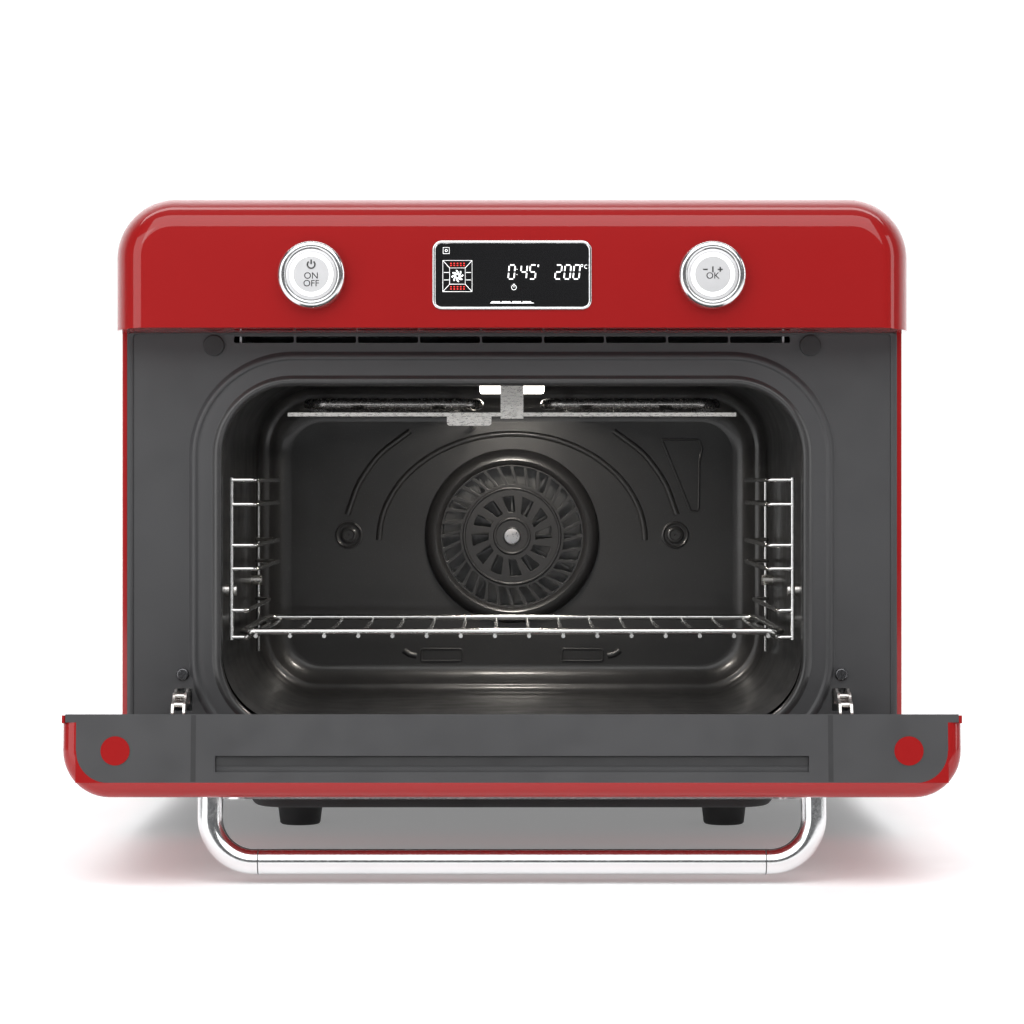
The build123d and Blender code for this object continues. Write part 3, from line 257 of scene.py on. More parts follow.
# ---------------------------------------------------------------- mesh builders
def corner_loop(half, bottom, top, radius, foot=None, steps=12, centre=0.0):
    """Rounded rectangle in X and Z, from its lower left corner; foot is the lower corners' radius."""
    foot = radius if foot is None else foot
    corners = [(-half, bottom, foot, math.pi, 1.5 * math.pi), (half, bottom, foot, 1.5 * math.pi, TAU),
               (half, top, radius, 0, 0.5 * math.pi), (-half, top, radius, 0.5 * math.pi, math.pi)]
    loop = []
    for x, z, r, start, end in corners:
        middle_x, middle_z = x - math.copysign(r, x), z + (r if z == bottom else -r)
        for step in range(steps + 1):
            angle = start + (end - start) * step / steps
            loop.append((centre + middle_x + r * math.cos(angle), middle_z + r * math.sin(angle)))
    return loop


def upright(loop, y):
    """Place an X and Z outline at a depth."""
    return [Vector((x, y, z)) for x, z in loop]


def on_door(loop, w):
    """Place an X and V outline on the door."""
    return [door_point(x, v, w) for x, v in loop]


def settle(name, bm, slot, body, sharp=35.0):
    """Turn a bmesh into a smooth-shaded piece with a material, riding on its body."""
    bmesh.ops.remove_doubles(bm, verts=bm.verts, dist=1e-6)
    bmesh.ops.recalc_face_normals(bm, faces=bm.faces)
    mesh = bpy.data.meshes.new(name)
    bm.to_mesh(mesh)
    bm.free()
    for face in mesh.polygons:
        face.use_smooth = True
    mesh.set_sharp_from_angle(angle=math.radians(sharp))
    mesh.materials.append(MATERIALS[slot])
    piece = bpy.data.objects.new(name, mesh)
    bpy.context.scene.collection.objects.link(piece)
    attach(piece, body)
    return piece


def bridge(bm, loops, closed=True, wrap=False):
    """Skin between loops of equal length."""
    rings = [[bm.verts.new(point) for point in loop] for loop in loops]
    pairs = list(zip(rings, rings[1:])) + ([(rings[-1], rings[0])] if wrap else [])
    for near, far in pairs:
        count = len(near)
        for i in range(count if closed else count - 1):
            j = (i + 1) % count
            bm.faces.new((near[i], near[j], far[j], far[i]))
    return rings


def loft(name, loops, slot, body, caps=(False, False), wrap=False, sharp=35.0):
    """Closed skin through a list of loops, with optional flat caps at the two ends."""
    bm = bmesh.new()
    rings = bridge(bm, loops, wrap=wrap)
    for cap, ring in zip(caps, (rings[0], rings[-1])):
        if cap:
            bm.faces.new(ring)
    return settle(name, bm, slot, body, sharp)


def turned(name, profile, origin, axis, slot, body, steps=96, sharp=30.0):
    """Turned piece: profile points are radius and distance along the axis from the origin."""
    axis = axis.normalized()
    across = axis.orthogonal().normalized()
    other = axis.cross(across)
    loops = []
    for radius, along in profile:
        loops.append([origin + axis * along + (across * math.cos(a) + other * math.sin(a)) * max(radius,
                                                                                                 1e-7)
                      for a in (TAU * i / steps for i in range(steps))])
    bm = bmesh.new()
    bridge(bm, loops)
    return settle(name, bm, slot, body, sharp)


def rounded_path(points, radius, steps=10):
    """Polyline with its corners rounded by arcs."""
    path = [points[0]]
    for before, corner, after in zip(points, points[1:], points[2:]):
        back, ahead = (before - corner).normalized(), (after - corner).normalized()
        turn = math.pi - back.angle(ahead)
        if turn < 1e-3:
            path.append(corner)
            continue
        cut = radius * math.tan(turn / 2)
        start, end = corner + back * cut, corner + ahead * cut
        centre = corner + (back + ahead).normalized() * (radius / math.cos(turn / 2))
        arm, goal = start - centre, end - centre
        normal = arm.cross(goal).normalized()
        for step in range(steps + 1):
            path.append(centre + Matrix.Rotation(turn * step / steps, 3, normal) @ arm)
    path.append(points[-1])
    return path


def tube_skin(bm, path, radius, sides=18, closed=False):
    """Round tube along a path, added to a bmesh."""
    count = len(path)
    loops = []
    across = None
    for i, point in enumerate(path):
        ahead = path[(i + 1) % count] if closed or i + 1 < count else point
        behind = path[i - 1] if closed or i else point
        along = (ahead - behind).normalized()
        across = along.orthogonal() if across is None else across - along * across.dot(along)
        across.normalize()
        other = along.cross(across)
        loops.append([point + (across * math.cos(a) + other * math.sin(a)) * radius
                      for a in (TAU * k / sides for k in range(sides))])
    rings = bridge(bm, loops, wrap=closed)
    if not closed:
        bm.faces.new(rings[0])
        bm.faces.new(rings[-1])


def tubes(name, paths, radius, slot, body, sides=18, closed=False, sharp=50.0):
    """One piece made of round tubes of equal radius."""
    bm = bmesh.new()
    for path in paths:
        tube_skin(bm, path, radius, sides, closed)
    return settle(name, bm, slot, body, sharp)


def plate_piece(name, outline, normal, thickness, slot, body, round_edge=0.0):
    """Flat piece with an outline in space, its top edge rounded off."""
    centre = sum(outline, Vector()) / len(outline)
    loops = [[p - normal * thickness for p in outline]]
    turns = 4 if round_edge else 0
    widest = max((p - centre).length for p in outline)
    for step in range(turns + 1):
        angle = 0.5 * math.pi * step / max(turns, 1)
        drop, pull = round_edge * (1 - math.sin(angle)), round_edge * (1 - math.cos(angle))
        loops.append([centre + (p - centre) * (1 - pull / widest) - normal * drop for p in outline])
    return loft(name, loops, slot, body, caps=(True, True))


ROOT = "oven_body"
BACKWARD, FORWARD = Vector((0, 1, 0)), Vector((0, -1, 0))


def sheet_piece(name, outlines, place, thickness, slot, body, bevel=0.0, turn=None):
    """Flat sheet cut to outlines: the first is its edge and the rest are holes."""
    curve = bpy.data.curves.new(name, "CURVE")
    curve.dimensions, curve.fill_mode = "2D", "BOTH"
    curve.extrude, curve.bevel_depth, curve.bevel_resolution = thickness / 2 - bevel, bevel, 3
    curve.offset = -bevel
    for outline in outlines:
        spline = curve.splines.new("POLY")
        spline.points.add(len(outline) - 1)
        for point, (x, z) in zip(spline.points, outline):
            point.co = (x, z, 0, 1)
        spline.use_cyclic_u = True
    curve.materials.append(MATERIALS[slot])
    piece = bpy.data.objects.new(name, curve)
    bpy.context.scene.collection.objects.link(piece)
    stand = turn or Matrix.Rotation(0.5 * math.pi, 4, "X")
    piece.matrix_world = Matrix.Translation(place) @ stand @ Matrix.Translation((0, 0, -thickness / 2))
    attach(piece, body)
    return piece


def rectangle(low_x, low_z, high_x, high_z):
    """Square-cornered outline."""
    return [(low_x, low_z), (high_x, low_z), (high_x, high_z), (low_x, high_z)]


def circle(radius, x=0.0, z=0.0, steps=72):
    """Round outline."""
    return [(x + radius * math.cos(TAU * i / steps), z + radius * math.sin(TAU * i / steps))
            for i in range(steps)]


def quarter(steps=8):
    """Angles of a quarter turn."""
    return [0.5 * math.pi * step / steps for step in range(steps + 1)]


# ---------------------------------------------------------------- casing and fascia
def arch_points(half, bottom, top, radius, steps=16):
    """Outline open at the bottom, from the left foot over the top to the right foot."""
    loop = [(-half, bottom)]
    loop += [(-half + radius - radius * math.cos(a), top - radius + radius * math.sin(a))
             for a in quarter(steps)]
    loop += [(half - radius + radius * math.sin(a), top - radius + radius * math.cos(a))
             for a in quarter(steps)]
    loop.append((half, bottom))
    return loop


def casing():
    """Folded sheet over the top and sides, its front edge turned in."""
    hem, sheet, fold = 3.2 * MM, 1.2 * MM, 0.8 * MM
    corner = 36.3 * MM
    sections = [(0.0, CASE_BACK)] + [(fold * (1 - math.cos(a)), FACE_Y + fold * (1 - math.sin(a)))
                                     for a in quarter(4)]
    sections += [(hem, FACE_Y), (hem, FACE_Y + PLATE), (sheet, FACE_Y + PLATE), (sheet, CASE_BACK)]
    bm = bmesh.new()
    loops = [upright(arch_points(CASE_HALF - inset, CASE_LOW, CASE_TOP - inset, corner - inset), y)
             for inset, y in sections]
    rings = bridge(bm, loops, closed=False, wrap=True)
    for end in (0, -1):
        bm.faces.new([ring[end] for ring in rings])
    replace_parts(settle("casing", bm, "red_enamel", ROOT), "outer_shell")


def fascia():
    """Control panel's housing: rounded at the front along its sides and top, square below."""
    wall = 1.7 * MM
    edge = 1.2 * MM
    sections = [(0.0, PANEL_BACK, 0.0)]
    sections += [(PANEL_ROUND * (1 - math.cos(a)), PANEL_FRONT + PANEL_DEEP * (1 - math.sin(a)),
                  edge * (1 - math.cos(a))) for a in quarter(14)]
    bm = bmesh.new()
    loops = [upright(arch_points(PANEL_HALF - inset, PANEL_LOW + lift, PANEL_TOP - inset,
                                 PANEL_CORNER - inset), y)
             for inset, y, lift in sections]
    inner = arch_points(PANEL_HALF - wall, PANEL_LOW, PANEL_TOP - wall, PANEL_CORNER - wall)
    rings = bridge(bm, [upright(inner, PANEL_BACK)] + loops)
    bm.faces.new(rings[-1])
    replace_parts(settle("fascia", bm, "red_enamel", ROOT), "control_panel_shell")


casing()
fascia()


# ---------------------------------------------------------------- front frame
FRAME_HALF, FRAME_LOW = high("front_frame").x, low("front_frame").z
SURROUND_HALF, SURROUND_LOW, SURROUND_TOP, SURROUND_CORNER = 203.7 * MM, 47 * MM, 305 * MM, 66 * MM


def surround_loop(inset, proud):
    """Outline of the pressed surround, moved in by an inset towards the mouth and set proud of the frame."""
    share = inset / (SURROUND_HALF - MOUTH_HALF)
    half = SURROUND_HALF - inset
    bottom = SURROUND_LOW + (MOUTH_LOW - SURROUND_LOW) * share
    top = SURROUND_TOP + (MOUTH_TOP - SURROUND_TOP) * share
    corner = SURROUND_CORNER + (MOUTH_CORNER - SURROUND_CORNER) * share
    return upright(corner_loop(half, bottom, top, corner, steps=24), FACE_Y - proud)


def front_frame():
    """Sheet frame with a turned edge, vents, hinge slots and a pressed, rolled surround around the mouth."""
    lip, lip_high = 4.0 * MM, 1.2 * MM
    vent_half, vent_low, vent_high, vents, bar = 176 * MM, 310.4 * MM, 314.6 * MM, 9, 1.2 * MM
    pitch = 2 * vent_half / vents
    holes = [corner_loop(SURROUND_HALF - 1 * MM, SURROUND_LOW + 1 * MM, SURROUND_TOP - 1 * MM,
                         SURROUND_CORNER - 1 * MM, steps=24)]
    holes += [corner_loop((pitch - bar) / 2, vent_low, vent_high, 1.2 * MM, steps=4,
                          centre=(i - (vents - 1) / 2) * pitch) for i in range(vents)]
    slot_low, slot_high, slot_half, slot_x = 78.5 * MM, 92.8 * MM, 5.4 * MM, 207 * MM
    outer = rectangle(-FRAME_HALF, FRAME_LOW, FRAME_HALF, PANEL_LOW)
    holes += [corner_loop(slot_half, slot_low, slot_high, 1 * MM, steps=4, centre=side * slot_x)
              for side in SIDES]
    plate = sheet_piece("frame_sheet", [outer] + holes, Vector((0, FACE_Y, 0)), PLATE, "dark_frame", ROOT)
    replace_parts(plate, "front_frame")
    profile = [(lip, 0.0), (lip - 0.3 * MM, lip_high * 0.7), (lip - 0.9 * MM, lip_high),
               (0.6 * MM, lip_high),
               (0.0, lip_high * 0.6), (0.0, 0.0)]
    edge = loft("frame_edge",
                [upright(corner_loop(FRAME_HALF - inset, FRAME_LOW + inset, PANEL_LOW - inset * 0.25,
                                                   2.5 * MM, steps=4), FACE_Y - proud)
                               for inset, proud in profile], "dark_frame", ROOT)
    pressed = [(0.0, 0.0), (0.5, 0.35), (1.4, 1.6), (2.4, 2.6), (3.3, 2.95), (4.3, 3.0), (4.9, 2.75),
               (5.4, 2.2),
               (6.0, 2.0), (7.0, 2.05), (8.5, 2.2), (11.0, 2.35), (13.5, 2.4), (14.8, 2.45)]
    roll = [(15.6, 2.9), (16.4, 3.6), (17.5, 4.1), (18.7, 4.2), (19.8, 3.8), (20.7, 2.9), (21.15, 1.6),
            (21.2, -1.5)]
    surround = loft("frame_surround", [surround_loop(i * MM, h * MM) for i, h in pressed], "dark_frame",
                    ROOT,
                    sharp=60)
    rolled = loft("mouth_roll", [surround_loop(i * MM, h * MM) for i, h in pressed[-1:] + roll],
                  "cavity_enamel",
                  ROOT, sharp=60)
    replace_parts(rolled, "cavity_seal")
    for piece in (edge, surround):
        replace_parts(piece, "front_frame")


front_frame()


# ---------------------------------------------------------------- cavity
CAVITY_HALF, CAVITY_LOW, CAVITY_TOP, CAVITY_CORNER = MOUTH_HALF, 70.3 * MM, 291.3 * MM, 44 * MM
WALL_HALF, WALL_LOW, WALL_TOP, WALL_CORNER = 161.9 * MM, 88.5 * MM, 268.8 * MM, 26 * MM


def cavity_loop(share, depth):
    """Cavity outline part of the way from its sides to the flat of its rear wall, at a depth."""
    def mix(a, b):
        return a + (b - a) * share
    return upright(corner_loop(mix(CAVITY_HALF, WALL_HALF), mix(CAVITY_LOW, WALL_LOW),
                               mix(CAVITY_TOP, WALL_TOP),
                               mix(CAVITY_CORNER, WALL_CORNER), steps=24), FACE_Y + depth)


def on_wall(x, z, proud=0.0):
    """Point on the flat of the rear wall."""
    return Vector((x * MM, CAVITY_BACK - proud * MM, z * MM))


def cavity():
    """Pressed lining: straight sides that run into a stepped rear dish."""
    deep = CAVITY_BACK - FACE_Y
    sides = [(0.0, 1.5), (0.0, 60.0), (0.0, 120.0), (0.0, 180.0), (0.0, 240.0), (0.0, deep / MM - 19)]
    dish = [(0.03, 16.5), (0.1, 13.5), (0.2, 11.2), (0.3, 10.2), (0.36, 9.9), (0.4, 9.2), (0.46, 7.4),
            (0.58, 4.8), (0.72, 2.5), (0.86, 0.9), (1.0, 0.3), (1.05, 0.1), (1.12, 0.0)]
    liner = loft("cavity_lining", [cavity_loop(share, depth * MM) for share, depth in sides]
                 + [cavity_loop(dish[0][0], deep - dish[0][1] * MM)], "cavity_enamel", ROOT, sharp=60)
    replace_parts(liner, "cavity_liner")
    rim = loft("cavity_rear_dish", [cavity_loop(share, deep - height * MM) for share, height in dish],
               "cavity_enamel", ROOT, sharp=60)
    flat = [(point.x, point.z) for point in cavity_loop(dish[-1][0], deep)]
    wall = sheet_piece("cavity_rear_wall", [flat, circle(54 * MM, z=FAN_Z, steps=128)],
                       Vector((0, CAVITY_BACK, 0)), 1.4 * MM, "cavity_enamel", ROOT)
    for piece in (rim, wall):
        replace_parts(piece, "cavity_back_panel")


def rear_wall_relief():
    """Ribs, bosses and pressed outlines on the rear wall."""
    rib, half_width, rise = 2.6 * MM, 96.0, 76.7
    over = [on_wall(half_width * math.cos(a), 180.7 + rise * math.sin(a)) for a in
            (math.pi * i / 60 for i in range(61))]
    paths = [over]
    for side in SIDES:
        points = [on_wall(side * x, z) for x, z in ((73.6, 259.4), (96, 243), (111, 222), (119, 199))]
        paths.append(rounded_path(points, 60 * MM, 8))
        paths.append([on_wall(side * x, z) for x, z in ((78, 101), (74, 98), (69, 97))])
    tubes("wall_ribs", [[p + BACKWARD * 1.3 * MM for p in path] for path in paths], rib, "cavity_enamel",
          ROOT)
    line = 0.9 * MM
    marks = []
    for side in SIDES:
        x0, x1 = sorted((side * 65.7, side * 36.1))
        box = [on_wall(x, z) for x, z in ((x0, 93.3), (x1, 93.3), (x1, 102), (x0, 102), (x0, 93.3))]
        marks.append(rounded_path(box, 2 * MM, 5))
    pocket = [(108.3, 253.2), (135.4, 253.2), (137.6, 246.4), (135.4, 238.4), (134.9, 201.6), (129.2, 201.6),
              (108.3, 253.2)]
    marks.append(rounded_path([on_wall(x, z) for x, z in pocket], 2.4 * MM, 5))
    tubes("wall_outlines", marks, line, "cavity_enamel", ROOT, sides=10)
    for side in SIDES:
        centre = on_wall(side * 117.9, 184.3)
        profile = [(9.9, 0), (9.6, 1.0), (8.8, 1.3), (8.0, 1.0), (7.4, 0.4), (6.4, 0.4), (5.8, 1.6),
                   (5.0, 2.1),
                   (4.0, 2.2), (3.4, 1.6), (0.9, 1.6), (0.6, 0.9), (0.0, 0.9)]
        turned("wall_boss", [(r * MM, h * MM) for r, h in profile], centre, FORWARD, "cavity_enamel", ROOT)


def fan_grille():
    """Round cover over the convection fan: rolled rim, vanes and a slotted hub."""
    centre = Vector((0, CAVITY_BACK, FAN_Z))
    rim = [(63, 0), (62.6, 2.2), (61.4, 4.4), (59.4, 6.4), (57.0, 7.6), (54.8, 7.9), (53.2, 7.2),
           (52.0, 5.6),
           (51.2, 4.4)]
    cover = turned("fan_rim", [(r * MM, h * MM) for r, h in rim], centre, FORWARD, "cavity_enamel", ROOT)
    vanes, inner, outer = 32, 37.5, 50.2

    def wedge(middle_angle, half_angle, near, far):
        angles = [middle_angle + half_angle * k for k in (-1, -0.5, 0, 0.5, 1)]
        skew = math.radians(6)
        return [(near * MM * math.cos(a), near * MM * math.sin(a)) for a in angles] + \
               [(far * MM * math.cos(a + skew), far * MM * math.sin(a + skew)) for a in reversed(angles)]
    holes = [wedge(TAU * i / vanes, math.radians(4.1), inner, outer) for i in range(vanes)]
    holes += [wedge(TAU * i / 12, math.radians(8.5), 17.0, 29.0) for i in range(12)]
    grille = sheet_piece("fan_grille", [circle(52 * MM, steps=128)] + holes, centre + FORWARD * 4.6 * MM,
                         1.4 * MM, "cavity_enamel", ROOT, bevel=0.25 * MM)
    rings = []
    for radius in (34.5, 12.5):
        rings.append([centre + Vector((radius * MM * math.cos(a), -4.6 * MM, radius * MM * math.sin(a)))
                      for a in (TAU * i / 72 for i in range(72))])
    ridges = tubes("fan_ridges", rings, 1.2 * MM, "cavity_enamel", ROOT, sides=12, closed=True)
    nut = turned("fan_nut",
                 [(r * MM, h * MM) for r, h in ((6.5, 4.4), (6.3, 6.2), (5.4, 7.2), (2.6, 7.6), (0, 7.7))],
                 centre, FORWARD, "screw_steel", ROOT)
    for piece in (cover, grille, ridges, nut):
        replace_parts(piece, "fan_cover")


cavity()
rear_wall_relief()
fan_grille()


# ---------------------------------------------------------------- wires, element and handle
def wire_paths():
    """Racks and shelf as smooth round wire, on the CAD's own lines."""
    rack_x, top = 178 * MM, 224 * MM
    levels = ((124.2, 141.2, 10), (167.6, 182.5, 16), (208.5, 224.0, 16))
    front, rear, wire = 12 * MM, 233 * MM, 1.5 * MM
    for name, side in (("side_rack_left", -1), ("side_rack_right", 1)):
        def at(x, depth, z):
            return Vector((side * x, FACE_Y + depth, z))
        uprights = [[at(rack_x, front, 122.7 * MM), at(rack_x, front, top + wire)],
                    [at(rack_x, rear, 104 * MM), at(rack_x, rear, top + wire)]]
        runners = []
        for low_z, high_z, inset in levels:
            for z in (low_z, high_z):
                line = [(rack_x, front), (rack_x - inset * MM, front), (rack_x - inset * MM, 205 * MM),
                        (rack_x, 218 * MM), (rack_x, rear)]
                runners.append(rounded_path([at(x, depth, z * MM) for x, depth in line], 4 * MM, 6))
        for index, (paths, radius) in enumerate(((uprights, wire), (runners, 1.4 * MM))):
            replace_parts(tubes(f"{name}_wires_{index}", paths, radius, "rack_wire", ROOT, sides=14), name)

    half, frame_wire, z = 172 * MM, 2 * MM, 127.7 * MM
    near, far = 17 * MM, 233 * MM
    bend = 10 * MM
    corners = [(half, near, 1.5), (half, far, 0.0), (-half, far, 0.5), (-half, near, 1.0)]
    loop = []
    for x, depth, start in corners:
        centre_x, centre_y = x - math.copysign(bend, x), depth + (bend if depth == near else -bend)
        for a in quarter(8):
            angle = start * math.pi + a
            loop.append(Vector((centre_x + bend * math.cos(angle),
                                FACE_Y + centre_y + bend * math.sin(angle), z)))
    shelf = tubes("shelf_frame", [loop], frame_wire, "rack_wire", "shelf", sides=16, closed=True)
    bars, pitch, bar_wire = 16, 21.7 * MM, 1.3 * MM
    bar_z = z - frame_wire - bar_wire + 0.5 * MM
    lines = [[Vector((x, FACE_Y + 15 * MM, bar_z)), Vector((x, FACE_Y + far + frame_wire, bar_z))]
             for x in ((i - (bars - 1) / 2) * pitch for i in range(bars))]
    rods = tubes("shelf_bars", lines, bar_wire, "rack_wire", "shelf", sides=12)
    for piece in (shelf, rods):
        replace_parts(piece, "wire_shelf")


def heating_element():
    """Upper element: one serpentine tube on each side."""
    z, rear = 273.5, (CAVITY_BACK - FACE_Y) / MM + 1
    corners = [(133, rear), (133, 64), (22.2, 64), (22.2, 98), (105, 98), (105, 132), (40, 132), (40, rear)]
    paths = [rounded_path([Vector((side * x * MM, FACE_Y + y * MM, z * MM)) for x, y in corners],
                          14 * MM, 10)
             for side in SIDES]
    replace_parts(tubes("element_tubes", paths, 3.5 * MM, "element_metal", ROOT, sides=20), "upper_element")


def handle():
    """Bent tube on the door with fine joint lines where the bar meets its bends."""
    half, height, outer, reach, bend, radius = 167.5 * MM, 229.7 * MM, 35.5 * MM, 71 * MM, 24.5 * MM, 7 * MM
    line = [door_point(x, height, w)
            for x, w in ((-half, outer), (-half, reach), (half, reach), (half, outer))]
    bar = tubes("handle_tube", [rounded_path(line, bend, 20)], radius, "polished_chrome", "door", sides=40)
    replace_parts(bar, "door_handle")
    for side in SIDES:
        turned("handle_joint", [(radius - 0.3 * MM, -0.35 * MM), (radius + 0.03 * MM, -0.3 * MM),
                                (radius + 0.03 * MM, 0.3 * MM), (radius - 0.3 * MM, 0.35 * MM)],
               door_point(side * (half - bend - 2.4 * MM), height,
                          reach), Vector((1, 0, 0)), "dark_frame", "door")


wire_paths()
heating_element()
handle()


# ---------------------------------------------------------------- dials and display
def profile_mm(*points):
    """Profile given in millimetres."""
    return [(radius * MM, along * MM) for radius, along in points]


def lettering(name, words, place, size, slot, body):
    """Raised print that faces the front, centred on a place."""
    text = bpy.data.curves.new(name, "FONT")
    text.body, text.size, text.extrude = words, size, 0.02 * MM
    text.align_x, text.align_y = "CENTER", "CENTER"
    text.materials.append(MATERIALS[slot])
    piece = bpy.data.objects.new(name, text)
    piece.location = place
    piece.rotation_euler = (0.5 * math.pi, 0, 0)
    bpy.context.scene.collection.objects.link(piece)
    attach(piece, body)
    return piece


def dial(side, words):
    """Dial ring, push cap with its light ring and the words on the cap; gives back the face and body for the
    mark above the words.
    """
    name = "left" if side < 0 else "right"
    ring_node, cap_node, glow_node = f"{name}_dial_ring", f"{name}_push_cap", f"{name}_glow_ring"
    x = middle(cap_node).x
    base = Vector((x, PANEL_FRONT - 0.4 * MM, CONTROL_Z))
    ring = turned(f"{name}_ring",
                  profile_mm((14.65, -8.4), (15.85, -8.4), (15.85, 0), (20.75, 0), (20.75, 5.6),
                                             (20.6, 6.6), (20.1, 7.5), (19.3, 8.2), (18.5, 8.5), (16.9, 8.5),
                                             (16.4, 8.3), (16.06, 7.9), (16.05, 0.2), (14.65, 0.2), (14.65,
                                                                                                     -8.4)),
                  base, FORWARD, "polished_chrome", f"{name}_dial", steps=128)
    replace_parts(ring, ring_node)
    cap = turned(f"{name}_cap",
                 profile_mm((0, 5.1), (15.8, 5.1), (15.8, 7.5), (15.65, 7.8), (15.3, 8.0), (13.5, 8.0),
                                           (13.45, 7.3), (11.05, 7.3), (11.0, 8.0), (0, 8.0)),
                 base, FORWARD, "satin_cap", f"{name}_button", steps=128)
    stem = turned(f"{name}_stem", profile_mm((0, -8.9), (3, -8.9), (3, 5.1)), base, FORWARD, "satin_cap",
                  f"{name}_button", steps=32)
    for piece in (cap, stem):
        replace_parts(piece, cap_node)
    glow = turned(f"{name}_glow",
                  profile_mm((13.45, 7.0), (13.45, 7.9), (13.1, 8.02), (11.4, 8.02), (11.05, 7.9),
                                             (11.05, 7.0)),
                  base, FORWARD, "white_glow", f"{name}_button", steps=128)
    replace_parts(glow, glow_node)
    face = base + FORWARD * 8.0 * MM
    body = f"{name}_button"
    for row, word in enumerate(words):
        lettering(f"{name}_word_{row}", word, face + Vector((0, -0.02 * MM, (-1.0 - 4.7 * row) * MM)),
                  5.6 * MM,
                  "black_glass", body)
    return face, body


def power_mark(face, body):
    """Broken circle with an upright stroke."""
    centre = face + Vector((0, 0, 6.0 * MM))
    arc = [centre + Vector((2.3 * MM * math.sin(a), 0, 2.3 * MM * math.cos(a)))
           for a in (math.radians(40 + 280 * i / 32) for i in range(33))]
    stroke = [centre + Vector((0, 0, z * MM)) for z in (0.2, 3.0)]
    tubes("power_mark", [arc, stroke], 0.5 * MM, "black_glass", body, sides=8)


def plus_minus_mark(face, body):
    """Minus, divider and plus."""
    centre = face + Vector((0, 0, 3.0 * MM))
    strokes = [((-6.0, 0), (-3.2, 0)), ((0, -1.8), (0, 1.8)), ((3.0, 0), (6.0, 0)),
               ((4.5, -1.5), (4.5, 1.5))]
    tubes("plus_minus_mark",
          [[centre + Vector((x * MM, 0, z * MM)) for x, z in stroke] for stroke in strokes],
          0.45 * MM, "black_glass", body, sides=8)


power_mark(*dial(-1, ("ON", "OFF")))
plus_minus_mark(*dial(1, ("OK",)))


SEGMENTS = {"a": ((0, 2), (1, 2)), "b": ((1, 2), (1, 1)), "c": ((1, 1), (1, 0)), "d": ((0, 0), (1, 0)),
            "e": ((0, 0), (0, 1)), "f": ((0, 1), (0, 2)), "g": ((0, 1), (1, 1))}
DIGITS = {"0": "abcdef", "2": "abged", "4": "fgbc", "5": "afgcd"}


